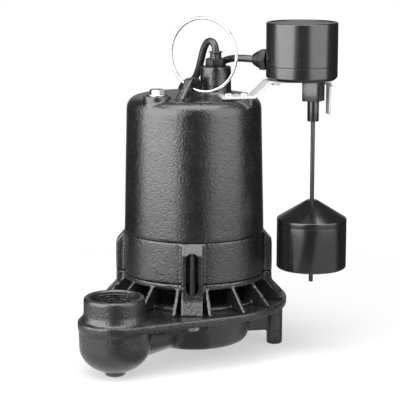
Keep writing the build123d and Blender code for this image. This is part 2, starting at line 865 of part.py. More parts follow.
with BuildPart() as switch_bracket:
    with BuildSketch(bracket_plane):
        with BuildLine():
            FilletPolyline(
                (0, bracket_bottom + bracket_thickness / 2),
                (bracket_foot_length, bracket_bottom + bracket_thickness / 2),
                (bracket_foot_length + bracket_run, shelf_bottom + bracket_thickness / 2),
                (bracket_length, shelf_bottom + bracket_thickness / 2),
                (bracket_length, shelf_bottom - tab_drop),
                radius=4.0,
            )
        trace(line_width=bracket_thickness)
    extrude(amount=bracket_width / 2, both=True)
    # the tab that hangs down at the end is narrower than the shelf
    for side in (-1, 1):
        with BuildSketch(bracket_plane.offset(side * (tab_width / 2 + 15))):
            with Locations((bracket_length, shelf_bottom - tab_drop / 2 - 6)):
                Rectangle(12, tab_drop)
        extrude(amount=15, both=True, mode=Mode.SUBTRACT)
    with BuildSketch(Plane.XY.offset(bracket_bottom)):
        with Locations(*[bracket_point(step) for step in screw_steps]):
            Circle(screw_hole_radius)
    extrude(amount=bracket_thickness, mode=Mode.SUBTRACT)
    with BuildSketch(Plane.XY.offset(shelf_bottom)):
        with Locations(bracket_point(switch_screw_step)):
            Circle(2.0)
        with Locations((rod_x, rod_y)):
            Circle(7.2)
    extrude(amount=bracket_thickness, mode=Mode.SUBTRACT)
save(switch_bracket.part, "switch_bracket")

# pan-head screws that hold the bracket to the housing
with BuildPart() as bracket_screws:
    for step in screw_steps:
        with BuildSketch(Plane.XY.offset(bracket_bottom + bracket_thickness)):
            with Locations(bracket_point(step)):
                Circle(screw_head_radius)
        extrude(amount=screw_head_height)
    fillet(bracket_screws.edges().filter_by(GeomType.CIRCLE).group_by(Axis.Z)[-1], 1.8)
    for step in screw_steps:
        with BuildSketch(Plane.XY.offset(bracket_bottom + bracket_thickness + 1.4)):
            with Locations(Location((*bracket_point(step), 0), 25)):
                Rectangle(6.6, 1.2)
        extrude(amount=2, mode=Mode.SUBTRACT)
        with BuildSketch(Plane.XY.offset(bracket_bottom + bracket_thickness)):
            with Locations(bracket_point(step)):
                Circle(screw_shank_radius)
        extrude(amount=-bracket_thickness)
save(bracket_screws.part, "bracket_screws")

# ---------------------------------------------------------------- float switch
base_top = shelf_top + switch_base_height
switch_top = shelf_top + switch_height
neck_radius = 7.0
switch_centre = (switch_x, switch_y)
rod_centre = (rod_x, rod_y)

with BuildPart() as switch_base:
    with BuildSketch(Plane.XY.offset(shelf_top)):
        with Locations(switch_centre):
            Circle(switch_radius)
    extrude(amount=switch_base_height)
    chamfer(switch_base.edges().filter_by(GeomType.CIRCLE).group_by(Axis.Z)[0], 3.0)
    with BuildSketch(Plane.XY.offset(shelf_top + 3.0)):
        with Locations(switch_centre):
            Circle(switch_radius - switch_wall - 1.0)
    extrude(amount=switch_base_height, mode=Mode.SUBTRACT)
    with BuildSketch(Plane.XY.offset(shelf_top)):
        with Locations(rod_centre):
            Circle(neck_radius + seat_clearance)
        with Locations(bracket_point(switch_screw_step)):
            Circle(1.6)
    extrude(amount=3.0, mode=Mode.SUBTRACT)
save(switch_base.part, "switch_base")

switch_gland_angle = 160.0
gland_spigot_radius = 3.8
gland_level = base_top + gland_spigot_radius + 0.4
with BuildPart() as switch_cover:
    with BuildSketch(Plane.XY.offset(base_top)):
        with Locations(switch_centre):
            Circle(switch_radius)
    extrude(amount=switch_top - base_top)
    chamfer(switch_cover.edges().filter_by(GeomType.CIRCLE).group_by(Axis.Z)[-1], 1.2)
    with BuildSketch(Plane.XY.offset(base_top)):
        with Locations(switch_centre):
            Circle(switch_radius - switch_wall)
    extrude(amount=switch_top - base_top - 3.0, mode=Mode.SUBTRACT)
    # shallow dish in the lid, inside a raised rim
    with BuildSketch(Plane.XY.offset(switch_top)):
        with Locations(switch_centre):
            Circle(switch_radius - 3.5)
    extrude(amount=-0.8, mode=Mode.SUBTRACT)
    # hole of the cable gland
    with BuildSketch(
        turned_plane(switch_x, switch_y, 0, switch_gland_angle + 90).offset(switch_radius - 8)
    ):
        with Locations((0, gland_level)):
            Circle(gland_spigot_radius + seat_clearance)
    extrude(amount=12, mode=Mode.SUBTRACT)
save(switch_cover.part, "switch_cover")

gland_root = switch_radius + 0.3
gland_plane = turned_plane(switch_x, switch_y, gland_level, switch_gland_angle + 90)
with BuildPart() as switch_gland:
    with BuildSketch(gland_plane.offset(gland_root)):
        RegularPolygon(9.6, 6, major_radius=False)
    extrude(amount=6.5)
    with BuildSketch(gland_plane.offset(gland_root + 6.5)):
        RegularPolygon(9.0, 6, major_radius=False)
    with BuildSketch(gland_plane.offset(gland_root + switch_gland_height)):
        RegularPolygon(5.2, 6, major_radius=False)
    loft()
    with BuildSketch(gland_plane.offset(gland_root)):
        Circle(gland_spigot_radius)
    extrude(amount=-(switch_wall + 4.0))
save(switch_gland.part, "switch_gland")

block_bottom = shelf_bottom - block_height
stem_bottom = block_bottom - stem_height
stem_top = shelf_bottom - rod_lift - 0.8
with BuildPart() as rod_guide:
    with BuildSketch(Plane.XY.offset(block_bottom)):
        with Locations(Location((rod_x, rod_y, 0), -block_turn)):
            RectangleRounded(block_size, block_size, 0.8)
    extrude(amount=block_height)
    with BuildSketch(Plane.XY.offset(shelf_bottom)):
        with Locations(rod_centre):
            Circle(neck_radius)
    extrude(amount=bracket_thickness + 3.5)
    with BuildSketch(Plane.XY.offset(block_bottom)):
        with Locations(rod_centre):
            Circle(stem_radius + running_clearance)
    extrude(amount=block_height, mode=Mode.SUBTRACT)
    with BuildSketch(Plane.XY.offset(shelf_bottom)):
        with Locations(rod_centre):
            Circle(rod_radius + float_clearance)
    extrude(amount=bracket_thickness + 3.5, mode=Mode.SUBTRACT)
save(rod_guide.part, "rod_guide")

# the sleeve fixed on the rod that the float pushes up
with BuildPart() as actuator_stem:
    with BuildSketch(Plane.XY.offset(stem_bottom)):
        with Locations(rod_centre):
            Circle(stem_radius)
            Circle(rod_radius, mode=Mode.SUBTRACT)
    extrude(amount=stem_top - stem_bottom)
    stem_foot = actuator_stem.edges().filter_by(GeomType.CIRCLE).group_by(Axis.Z)[0]
    chamfer(stem_foot.sort_by(SortBy.RADIUS)[-1], 0.6)
save(actuator_stem.part, "actuator_stem")

neck_top = shelf_top + 3.5
rod_top = neck_top + 8.0
with BuildPart() as float_rod:
    with BuildSketch(Plane.XY.offset(rod_bottom)):
        with Locations(rod_centre):
            Circle(rod_radius)
    extrude(amount=rod_top - rod_bottom)
    chamfer(float_rod.edges().filter_by(GeomType.CIRCLE).group_by(Axis.Z)[-1], 1.2)
    chamfer(float_rod.edges().filter_by(GeomType.CIRCLE).group_by(Axis.Z)[0], 0.5)
save(float_rod.part, "float_rod")

float_recess = 5.0
with BuildPart() as rod_clips:
    for level in (neck_top + 0.3, float_bottom + float_recess - 0.3 - clip_height):
        with BuildSketch(Plane.XY.offset(level)):
            with Locations(rod_centre):
                Circle(clip_radius)
                Circle(rod_radius, mode=Mode.SUBTRACT)
        extrude(amount=clip_height)
save(rod_clips.part, "rod_clips")

float_rim = float_bottom + float_wall_height
with BuildPart() as float_turned:
    with BuildSketch(Plane.XZ):
        with BuildLine():
            Polyline(
                (rod_radius + float_clearance, float_bottom + float_recess),
                (clip_radius + 3, float_bottom + float_recess),
                (clip_radius + 3, float_bottom),
                (float_radius, float_bottom),
                (float_radius, float_rim),
                (float_top_radius, float_rim + float_cone_height),
                (rod_radius + float_clearance, float_rim + float_cone_height),
                close=True,
            )
        make_face()
        fillet(vertices().sort_by_distance((float_radius, float_bottom))[0], 1.6)
        fillet(vertices().sort_by_distance((float_radius, float_rim))[0], 1.2)
    revolve(axis=Axis.Z)
save(Pos(rod_x, rod_y, 0) * float_turned.part, "float")

# microswitch over the rod, with its hinged arm
arm_reach = 19.5
arm_pivot_x = rod_x - arm_reach
arm_level = rod_top + 0.6
with BuildPart() as switch_arm:
    with BuildSketch(Plane.XY.offset(arm_level)):
        with Locations((rod_x - arm_reach / 2, rod_y)):
            SlotCenterToCenter(arm_reach, 7.0)
    extrude(amount=1.6)
    with BuildSketch(Plane.XZ.offset(-rod_y)):
        with Locations((arm_pivot_x, arm_level + 0.8)):
            Circle(2.6)
            Circle(1.05, mode=Mode.SUBTRACT)
    extrude(amount=3.5, both=True)
    with BuildSketch(Plane.XZ.offset(-rod_y)):
        with Locations((arm_pivot_x, arm_level + 0.8)):
            Circle(1.05)
    extrude(amount=3.5, both=True, mode=Mode.SUBTRACT)
save(switch_arm.part, "switch_arm")

with BuildPart() as arm_pin:
    with BuildSketch(Plane.XZ.offset(-rod_y)):
        with Locations((arm_pivot_x, arm_level + 0.8)):
            Circle(1.0)
    extrude(amount=6.5, both=True)
save(arm_pin.part, "arm_pin")

# fork that holds the pin, standing on the base
fork_bottom = shelf_top + 3.0
with BuildPart() as arm_fork:
    for side in (-1, 1):
        with BuildSketch(Plane.XY.offset(fork_bottom)):
            with Locations((arm_pivot_x, rod_y + side * 5.3)):
                Rectangle(7.0, 2.4)
        extrude(amount=arm_level + 4.0 - fork_bottom)
    with BuildSketch(Plane.XY.offset(fork_bottom)):
        with Locations((arm_pivot_x, rod_y)):
            Rectangle(7.0, 13.0)
    extrude(amount=2.0)
    with BuildSketch(Plane.XZ.offset(-rod_y)):
        with Locations((arm_pivot_x, arm_level + 0.8)):
            Circle(1.05)
    extrude(amount=8, both=True, mode=Mode.SUBTRACT)
save(arm_fork.part, "arm_fork")

microswitch_bottom = arm_level + 1.6 + rod_lift + 3.0
with BuildPart() as microswitch:
    with BuildSketch(Plane.XY.offset(microswitch_bottom)):
        with Locations((switch_x - 3, rod_y)):
            RectangleRounded(28, 10.5, 0.8)
    extrude(amount=16)
    with BuildSketch(Plane.XZ.offset(-rod_y)):
        with Locations(
            (switch_x - 3 - 11, microswitch_bottom + 3.5), (switch_x - 3 + 11, microswitch_bottom + 12.5)
        ):
            Circle(1.5)
    extrude(amount=8, both=True, mode=Mode.SUBTRACT)
    # bosses that reach up to the lid
    with BuildSketch(Plane.XY.offset(microswitch_bottom + 16)):
        with Locations((switch_x - 10, rod_y), (switch_x + 4, rod_y)):
            Circle(3.0)
    extrude(amount=switch_top - 3.0 - microswitch_bottom - 16)
save(microswitch.part, "microswitch")

with BuildPart() as switch_screw:
    with BuildSketch(Plane.XY.offset(shelf_bottom)):
        with Locations(bracket_point(switch_screw_step)):
            RegularPolygon(3.5, 6, major_radius=False)
    extrude(amount=-2.8)
    with BuildSketch(Plane.XY.offset(shelf_bottom)):
        with Locations(bracket_point(switch_screw_step)):
            Circle(1.5)
    extrude(amount=bracket_thickness + 2.5)
save(switch_screw.part, "switch_screw")

# ---------------------------------------------------------------- cords
coil_middle_radius = 39.0
coil_columns = 4
coil_layers = 2
cord_pitch = 7.2
coil_x, coil_y = 0.0, 152.0
tail_angle = 115.0           # where the outer turn leaves the coil
coil_width = coil_columns * cord_pitch
coil_layer_height = coil_layers * cord_pitch
coil_outer = coil_middle_radius + coil_width / 2


def corner_radii(points, share=0.45):
    """The largest arc at each corner that both of its runs leave room for."""
    radii = []
    for before, corner_at, after in zip(points, points[1:], points[2:]):
        arriving = Vector(*corner_at) - Vector(*before)
        leaving = Vector(*after) - Vector(*corner_at)
        half_turn = math.radians(arriving.get_angle(leaving)) / 2
        radii.append(share * min(arriving.length, leaving.length) / math.tan(half_turn))
    return radii


def cord_tube(points, name):
    """A round cord along straight runs joined by tangent arcs."""
    radii = corner_radii(points)
    with BuildPart(mode=Mode.PRIVATE) as tube:
        with BuildLine():
            path = FilletPolyline(*points, radius=radii)
        with BuildSketch(Plane(origin=path @ 0, z_dir=path % 0)):
            Circle(cord_radius)
        sweep()
    expected = math.pi * cord_radius**2 * path.length
    print(name, "length", round(path.length, 1), "volume ratio", round(tube.part.volume / expected, 4))
    print("   radii in diameters", [round(r / (2 * cord_radius), 1) for r in radii])
    print("   runs", [round((Vector(*b) - Vector(*a)).length, 1) for a, b in zip(points, points[1:])])
    return save(tube.part, name)


upper_coil = coil_layer_height + 0.4

# power cord: up out of the gland, over backwards, down behind the housing, into its coil
power_route = [
    (21.0, 2.0, 290.5),
    (21.0, 2.0, 299.3),
    (17.5, 6.4, 304.4),
    (12.8, 12.4, 303.3),
    (9.5, 16.6, 296.4),
    (7.0, 19.9, 285.6),
    (4.6, 25.0, 274.8),
    (1.3, 33.0, 265.8),
    (-2.9, 43.8, 260.6),
    (-7.5, 56.4, 258.9),
    (-11.9, 68.8, 253.8),
    (-15.2, 78.4, 243.8),
    (-17.8, 84.6, 228.2),
    (-19.6, 87.4, 203.0),
    (-20.4, 88.2, 164.0),
    (-23.2, 88.6, 128.0),
    (-28.6, 89.4, 98.0),
    (-36.0, 91.6, 72.0),
    (-44.2, 95.6, 50.0),
    (-51.4, 101.2, 32.0),
    (-56.8, 109.6, 17.6),
    (-59.2, 121.4, 8.4),
    (-57.6, 134.6, 4.2),
    (-53.2, 147.2, 3.6),
    (-50.6, 158.0, 3.6),
]
cord_tube(power_route, "power_cord")

switch_route = [
    (57.3, -2.4, 287.7),
    (49.3, 0.5, 288.2),
    (39.0, 6.4, 287.9),
    (30.0, 14.8, 285.0),
    (24.0, 24.6, 279.5),
    (21.0, 37.0, 272.2),
    (20.4, 50.6, 266.2),
    (21.0, 64.2, 259.0),
    (22.4, 76.0, 247.2),
    (24.0, 83.6, 228.6),
    (24.8, 86.4, 200.0),
    (25.0, 87.4, 160.0),
    (25.8, 90.6, 122.0),
    (28.0, 95.6, 94.0),
    (32.0, 101.4, 70.0),
    (37.4, 108.4, 50.4),
    (42.8, 118.0, 34.8),
    (47.4, 131.4, 23.8),
    (49.6, 145.4, 18.9),
    (50.2, 159.0, 18.2),
]
cord_tube(switch_route, "switch_cable")

with BuildPart() as power_cord_coil:
    with BuildSketch(Plane.XY):
        with Locations((coil_x, coil_y)):
            Circle(coil_outer)
            Circle(coil_outer - coil_width, mode=Mode.SUBTRACT)
    extrude(amount=coil_layer_height)
    fillet(power_cord_coil.edges(), 3.0)
save(power_cord_coil.part, "power_cord_coil")
save(Pos(0, 0, upper_coil) * power_cord_coil.part, "switch_cable_coil")

# ---------------------------------------------------------------- plugs
plug_level = 14.4
plug_radius = 14.0
blade_spacing = 12.7
blade_width = 6.35
blade_thickness = 1.5
blade_length = 16.0
pin_radius = 2.4
pin_length = 18.0
pin_drop = 11.9
tail_radius = coil_outer - cord_pitch / 2


def tail_frame(side):
    """Start and heading of the tail that leaves a coil; side is 1 for the right-hand plug."""
    angle = math.radians(90 + (tail_angle - 90) * side)
    start = Vector(coil_x + tail_radius * math.cos(angle), coil_y + tail_radius * math.sin(angle), 0)
    heading = Vector(math.sin(angle) * side, -math.cos(angle) * side, 0)
    return start, heading


def plug_pins(plane, name):
    """Two flat blades and a round earth pin that stand on the plug's face."""
    with BuildPart() as blades:
        with BuildSketch(plane):
            with Locations((-blade_spacing / 2, pin_drop / 4), (blade_spacing / 2, pin_drop / 4)):
                Rectangle(blade_thickness, blade_width)
        extrude(amount=blade_length)
    save(blades.part, f"{name}_blades")
    with BuildPart() as pin:
        with BuildSketch(plane):
            with Locations((0, -pin_drop * 3 / 4)):
                Circle(pin_radius)
        extrude(amount=pin_length)
        fillet(pin.faces().sort_by(SortBy.DISTANCE, reverse=True)[0].edges(), 1.2)
    save(pin.part, f"{name}_earth_pin")


tail_start, tail_heading = tail_frame(1)
plug_entry = tail_start + tail_heading * 33 + Vector(0, 0, plug_level)
plug_axis = Plane(origin=plug_entry, x_dir=(0, 0, 1), z_dir=tail_heading)
with BuildPart() as power_plug:
    with BuildSketch(plug_axis):
        Circle(cord_radius + 1.0)
    with BuildSketch(plug_axis.offset(12)):
        Circle(cord_radius + 5.5)
    loft()
    with BuildSketch(plug_axis.offset(12)):
        Circle(plug_radius - 2.5)
    with BuildSketch(plug_axis.offset(30)):
        Circle(plug_radius)
    loft()
    with BuildSketch(plug_axis.offset(30)):
        Circle(plug_radius)
    extrude(amount=8)
save(power_plug.part, "power_plug")
face_across = Vector(-tail_heading.Y, tail_heading.X, 0)
plug_face = Plane(
    origin=plug_entry + tail_heading * 38, x_dir=face_across, z_dir=tail_heading
)
plug_pins(plug_face, "power_plug")
power_tail = [
    tuple(tail_start + Vector(0, 0, 10.4)),
    tuple(tail_start + tail_heading * 17 + Vector(0, 0, 10.6)),
    tuple(plug_entry),
]
cord_tube(power_tail, "power_cord_tail")

tail_start, tail_heading = tail_frame(-1)
piggyback_entry = tail_start + tail_heading * 40 + Vector(0, 0, plug_level)
outward = Vector(-tail_heading.Y, tail_heading.X, 0)
if outward.Y < 0:
    outward = outward * -1
entry_plane = Plane(origin=piggyback_entry, x_dir=outward, z_dir=tail_heading)
with BuildPart() as piggyback_plug:
    with BuildSketch(entry_plane.offset(12)):
        RectangleRounded(26, 28, 5)
    extrude(amount=32)
    fillet(piggyback_plug.edges().filter_by(Axis.Z, reverse=True), 2.0)
    with BuildSketch(entry_plane):
        Circle(cord_radius + 1.0)
    with BuildSketch(entry_plane.offset(12.5)):
        Circle(cord_radius + 4.0)
    loft()
    # receptacle slots in the face opposite the blades
    socket_face = Plane(
        origin=piggyback_entry + tail_heading * 28 - outward * 13,
        x_dir=tail_heading,
        z_dir=outward * -1,
    )
    with BuildSketch(socket_face):
        with Locations((-blade_spacing / 2, 3), (blade_spacing / 2, 3)):
            Rectangle(blade_thickness + 0.8, blade_width + 1.5)
        with Locations((0, -6)):
            Circle(pin_radius + 0.4)
    extrude(amount=-10, mode=Mode.SUBTRACT)
save(piggyback_plug.part, "piggyback_plug")
piggyback_face = Plane(
    origin=piggyback_entry + tail_heading * 28 + outward * 13,
    x_dir=tail_heading,
    z_dir=outward,
)
plug_pins(piggyback_face, "piggyback_plug")
switch_tail = [
    tuple(tail_start + Vector(0, 0, upper_coil + 10.8)),
    tuple(tail_start + tail_heading * 20 + Vector(0, 0, 24.0)),
    tuple(piggyback_entry),
]
cord_tube(switch_tail, "switch_cable_tail")
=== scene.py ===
# %% [markdown]
# # A submersible sump pump
# The pump stands in a pit under a cellar floor. Water enters through the ribbed strainer round its
# waist, the impeller throws it into the casing at the bottom, and it leaves through the threaded
# socket at the front left. A float slides up a rod at the right and trips the switch above it.
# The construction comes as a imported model, the frame. This notebook gives it its looks: it models
# the visible pieces again in finer detail, lays the cords, and writes every finish as shader nodes.

# %% Load the frame
import math

import bpy
from mathutils import Matrix, Vector


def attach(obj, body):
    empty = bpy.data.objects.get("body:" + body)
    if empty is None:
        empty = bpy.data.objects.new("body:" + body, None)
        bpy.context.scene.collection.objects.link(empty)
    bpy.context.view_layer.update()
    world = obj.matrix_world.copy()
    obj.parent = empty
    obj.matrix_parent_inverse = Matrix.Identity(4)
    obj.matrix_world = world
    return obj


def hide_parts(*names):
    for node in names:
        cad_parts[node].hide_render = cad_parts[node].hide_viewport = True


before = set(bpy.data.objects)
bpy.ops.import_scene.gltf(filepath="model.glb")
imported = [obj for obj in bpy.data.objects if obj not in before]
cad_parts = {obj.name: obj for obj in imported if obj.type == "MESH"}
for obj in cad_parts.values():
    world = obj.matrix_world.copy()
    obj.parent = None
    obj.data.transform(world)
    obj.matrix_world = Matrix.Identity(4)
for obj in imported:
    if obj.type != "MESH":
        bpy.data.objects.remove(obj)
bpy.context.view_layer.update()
MM = 0.001

# %% [markdown]
# ## The camera
# A long lens from a metre and a half away, a little above the lid of the switch, keeps the upright
# sides of the pump nearly parallel. It looks along +Y, tilted down by eleven degrees. A camera
# close by with a short lens would make the sides lean in towards the bottom.

# %% Camera
CAMERA_PLACE = (0.0058, -1.5, 0.4374)
CAMERA_TILT = math.radians(79.11)  # 90 degrees would look level
LENS = 139.85

camera_data = bpy.data.cameras.new("camera")
camera_data.lens = LENS
camera_data.sensor_width = 36
camera = bpy.data.objects.new("camera", camera_data)
camera.location = CAMERA_PLACE
camera.rotation_euler = (CAMERA_TILT, 0, 0)
bpy.context.scene.collection.objects.link(camera)
bpy.context.scene.camera = camera
bpy.context.scene.view_settings.view_transform = "Standard"
print("camera:", LENS, "mm lens at", CAMERA_PLACE)

# %% [markdown]
# ## The cords
# Two cords leave the pump: the mains cord out of the tower, and the cable of the float switch. Both
# hang down behind the housing. What is left over is wound into two neat coils, one on the other,
# as it comes out of the box. A cord is a NURBS curve whose control points are a given route, and
# the turns of the coil are worked out by a loop and belong to the same spline.

# %% Sizes of the cords and the routes down to the coils
CORD_RADIUS = 3.5
CORD_PITCH = 7.2
COIL_CENTRE = (0.0, 152.0)
COIL_OUTER_TURN = 49.9
COIL_FIRST_LAYER = 3.6
UPPER_COIL = 14.8
TAIL_ANGLE = 115.0
TURN_POINTS = 24
COLUMNS = 5

power_route = [
    (21.0, 2.0, 290.5),
    (21.0, 2.0, 299.3),
    (17.5, 6.4, 304.4),
    (12.8, 12.4, 303.3),
    (9.5, 16.6, 296.4),
    (7.0, 19.9, 285.6),
    (4.6, 25.0, 274.8),
    (1.3, 33.0, 265.8),
    (-2.9, 43.8, 260.6),
    (-7.5, 56.4, 258.9),
    (-11.9, 68.8, 253.8),
    (-15.2, 78.4, 243.8),
    (-17.8, 84.6, 228.2),
    (-19.6, 87.4, 203.0),
    (-20.4, 88.2, 164.0),
    (-23.2, 88.6, 128.0),
    (-28.6, 89.4, 98.0),
    (-36.0, 91.6, 72.0),
    (-44.2, 95.6, 50.0),
    (-51.4, 101.2, 32.0),
    (-56.8, 109.6, 17.6),
    (-59.2, 121.4, 8.4),
    (-57.6, 134.6, 4.2),
    (-53.2, 147.2, 3.6),
    (-50.6, 158.0, 3.6),
]

# %% The route of the switch cable
switch_route = [
    (57.3, -2.4, 287.7),
    (49.3, 0.5, 288.2),
    (39.0, 6.4, 287.9),
    (30.0, 14.8, 285.0),
    (24.0, 24.6, 279.5),
    (21.0, 37.0, 272.2),
    (20.4, 50.6, 266.2),
    (21.0, 64.2, 259.0),
    (22.4, 76.0, 247.2),
    (24.0, 83.6, 228.6),
    (24.8, 86.4, 200.0),
    (25.0, 87.4, 160.0),
    (25.8, 90.6, 122.0),
    (28.0, 95.6, 94.0),
    (32.0, 101.4, 70.0),
    (37.4, 108.4, 50.4),
    (42.8, 118.0, 34.8),
    (47.4, 131.4, 23.8),
    (49.6, 145.4, 18.9),
    (50.2, 159.0, 18.2),
]
print(len(power_route), "and", len(switch_route), "route points")

# %% [markdown]
# A neat coil has five turns side by side, going inwards, and then climbs and comes back outwards on
# top of them. Each turn is a plain circle for three quarters of the way and then steps over to its
# neighbour's place, so the turns lie a diameter apart and never cut into each other.


# %% The turns of a coil
def ease(share):
    """A smooth step from 0 to 1."""
    share = min(max(share, 0.0), 1.0)
    return share * share * (3 - 2 * share)


def coil_turns(start, floor, way, end_angle):
    """Points of nine-odd turns from a start point to the angle at which the tail leaves."""
    first = math.degrees(math.atan2(start[1] - COIL_CENTRE[1], start[0] - COIL_CENTRE[0]))
    turns = 2 * COLUMNS - 1 + ((end_angle - first) * way % 360) / 360
    points = []
    for step in range(3, round(turns * TURN_POINTS) - 1):
        turn = step / TURN_POINTS
        whole, part = int(turn), turn % 1
        shift = ease((part - 0.75) / 0.25)
        if turn < COLUMNS:
            column = min(whole + shift, COLUMNS - 1)
            lift = ease((turn - COLUMNS + 0.35) / 0.35)
        else:
            column = max(2 * COLUMNS - 1 - whole - shift, 0)
            lift = 1.0
        radius = COIL_OUTER_TURN - CORD_PITCH * column
        angle = math.radians(first + way * 360 * turn)
        x = COIL_CENTRE[0] + radius * math.cos(angle)
        y = COIL_CENTRE[1] + radius * math.sin(angle)
        points.append((x, y, floor + COIL_FIRST_LAYER + CORD_PITCH * lift))
    return points


def tail_place(side):
    """Where the tail leaves its coil, and its heading; side is 1 for the right-hand plug."""
    angle = math.radians(90 + (TAIL_ANGLE - 90) * side)
    out = Vector((math.cos(angle), math.sin(angle), 0))
    start = Vector((*COIL_CENTRE, 0)) + out * (COIL_OUTER_TURN - 0.1)
    heading = Vector((out.y * side, -out.x * side, 0))
    return start, heading


# %% [markdown]
# A mesh tube could follow the route too, but a curve with a round bevel is simpler: the spline
# draws the cord's middle line, and the bevel gives it its thickness. An order of three lets the
# line cut gently inside each corner of the route. The order is set after the points, because an
# order set before them falls back to straight runs.


# %% A cord from its control points
def cord_curve(name, points):
    """A round cord whose control points are given in millimetres."""
    curve = bpy.data.curves.new(name, "CURVE")
    curve.dimensions = "3D"
    curve.bevel_depth = CORD_RADIUS * MM
    curve.bevel_resolution = 5
    curve.resolution_u = 6
    curve.use_fill_caps = True
    spline = curve.splines.new("NURBS")
    spline.points.add(len(points) - 1)
    for point, place in zip(spline.points, points):
        point.co = (*(Vector(place) * MM), 1)
    spline.order_u = 3
    spline.use_endpoint_u = True
    cord = bpy.data.objects.new(name, curve)
    bpy.context.scene.collection.objects.link(cord)
    print(name, "has", len(points), "control points")
    return cord


# %% [markdown]
# Each cord is one spline of three parts: the route down from the pump, the turns of its coil, and a
# short tail that leaves the coil in a straight line and rises a little into its plug. The mains
# cord's coil lies on the floor, and the switch cable's coil lies on top of it.

# %% Lay both cords
PLUG_LEVEL = Vector((0, 0, 14.4))
POWER_TAIL = 33.0
SWITCH_TAIL = 40.0

power_tail_start, power_heading = tail_place(1)
power_entry = power_tail_start + power_heading * POWER_TAIL + PLUG_LEVEL
power_tail = [
    power_tail_start + Vector((0, 0, 10.4)),
    power_tail_start + power_heading * 17 + Vector((0, 0, 10.6)),
    power_entry,
]
power_coil = coil_turns(power_route[-1], 0, -1, TAIL_ANGLE)
power_flex = cord_curve("power_flex", power_route + power_coil + power_tail)

switch_tail_start, switch_heading = tail_place(-1)
switch_entry = switch_tail_start + switch_heading * SWITCH_TAIL + PLUG_LEVEL
switch_tail = [
    switch_tail_start + Vector((0, 0, UPPER_COIL + 10.8)),
    switch_tail_start + switch_heading * 20 + Vector((0, 0, 24.0)),
    switch_entry,
]
switch_coil = coil_turns(switch_route[-1], UPPER_COIL, 1, 180 - TAIL_ANGLE)
switch_flex = cord_curve("switch_flex", switch_route + switch_coil + switch_tail)

# %% [markdown]
# ## Light
# Black enamel shows nothing but what it reflects, so the light is what draws it. A broad soft box
# at the left and a dimmer one at the right each leave one upright band on the round housing, and
# the gap between them leaves the dark band in the middle. A third box overhead picks out the
# shoulder. A fill light that mirrors show nothing of lifts the pale floor around the pump.


# %% Soft boxes
def soft_box(name, azimuth, elevation, distance, width, height, brightness):
    """An area light aimed at the middle of the pump; azimuth 0 is the camera's side, + is right."""
    target = Vector((0.01, 0, 0.16))
    side, rise = math.radians(azimuth), math.radians(elevation)
    level_out = Vector((math.sin(side), -math.cos(side), 0))
    away = level_out * math.cos(rise) + Vector((0, 0, math.sin(rise)))
    light = bpy.data.lights.new(name, "AREA")
    light.shape = "RECTANGLE"
    light.size = width
    light.size_y = height
    light.energy = brightness * math.pi * width * height
    lamp = bpy.data.objects.new(name, light)
    lamp.location = target + away * distance
    lamp.rotation_euler = away.to_track_quat("Z", "Y").to_euler()
    lamp.visible_camera = False
    bpy.context.scene.collection.objects.link(lamp)
    print(name, "at", azimuth, "and", elevation, "degrees")
    return lamp


soft_box("left_box", -59, 20, 0.9, 1.3, 1.0, 3.0)
soft_box("right_box", 54, 21, 0.9, 0.95, 0.95, 1.55)
soft_box("top_box", 0, 77, 1.1, 1.3, 0.95, 2.9)
fill = soft_box("fill", 0, 58, 1.6, 1.6, 1.6, 3.0)
fill.visible_glossy = False

# %% [markdown]
# The rest of the studio is written as shader nodes, in the world and in the floor. Both are built
# out of the same two nodes again and again: Math, and Map Range, which stretches one range of
# numbers over another. Two small functions add them with their inputs, so that the lines below
# read like the sum that they work out.


# %% Two nodes that do the sums
def maths(tree, operation, *values):
    """A Math node fed by sockets or plain numbers."""
    node = tree.nodes.new("ShaderNodeMath")
    node.operation = operation
    for socket, value in zip(node.inputs, values):
        if isinstance(value, (int, float)):
            socket.default_value = value
        else:
            tree.links.new(value, socket)
    return node.outputs[0]


def stretch_range(tree, value, from_low, from_high, to_low=0.0, to_high=1.0):
    """A Map Range node from one range to another."""
    node = tree.nodes.new("ShaderNodeMapRange")
    ends = {"From Min": from_low, "From Max": from_high, "To Min": to_low, "To Max": to_high}
    for socket, number in ends.items():
        node.inputs[socket].default_value = number
    tree.links.new(value, node.inputs["Value"])
    return node.outputs[0]


# %% [markdown]
# The camera sees white all round. Glossy pieces mirror a studio whose walls are pale at the two
# sides and dark between them and towards the back, with a dim backdrop right behind the pump, and
# that keeps the outline of the black housing dark against the white. Light Path tells the two
# kinds of ray apart, and a colour ramp holds the walls by their direction.

# %% The studio round the pump
# azimuth from the camera's side, + is to the right, and how pale the studio is there
STUDIO = [(-180, 0.3), (-168, 0.28), (-152, 0.03), (-104, 0.03), (-88, 0.6), (-26, 0.7)]
STUDIO += [(-13, 0.03), (13, 0.03), (24, 0.5), (76, 0.5), (92, 0.03), (152, 0.03)]
STUDIO += [(168, 0.28), (180, 0.3)]


def studio_walls(tree, coordinates):
    """How pale the studio is in a direction from the pump, as a grey."""
    place = tree.nodes.new("ShaderNodeTexCoord")
    split = tree.nodes.new("ShaderNodeSeparateXYZ")
    tree.links.new(place.outputs[coordinates], split.inputs[0])
    forward = maths(tree, "MULTIPLY", split.outputs["Y"], -1)
    azimuth = maths(tree, "ARCTAN2", split.outputs["X"], forward)
    walls = tree.nodes.new("ShaderNodeValToRGB")
    walls.color_ramp.interpolation = "EASE"
    stops = walls.color_ramp.elements
    for azimuth_angle, brightness in STUDIO:
        share = (azimuth_angle + 180) / 360
        stop = stops[0] if share == 0 else stops[-1] if share == 1 else stops.new(share)
        stop.position = share
        stop.color = (brightness, brightness, brightness, 1)
    tree.links.new(stretch_range(tree, azimuth, -math.pi, math.pi), walls.inputs[0])
    return walls.outputs[0]


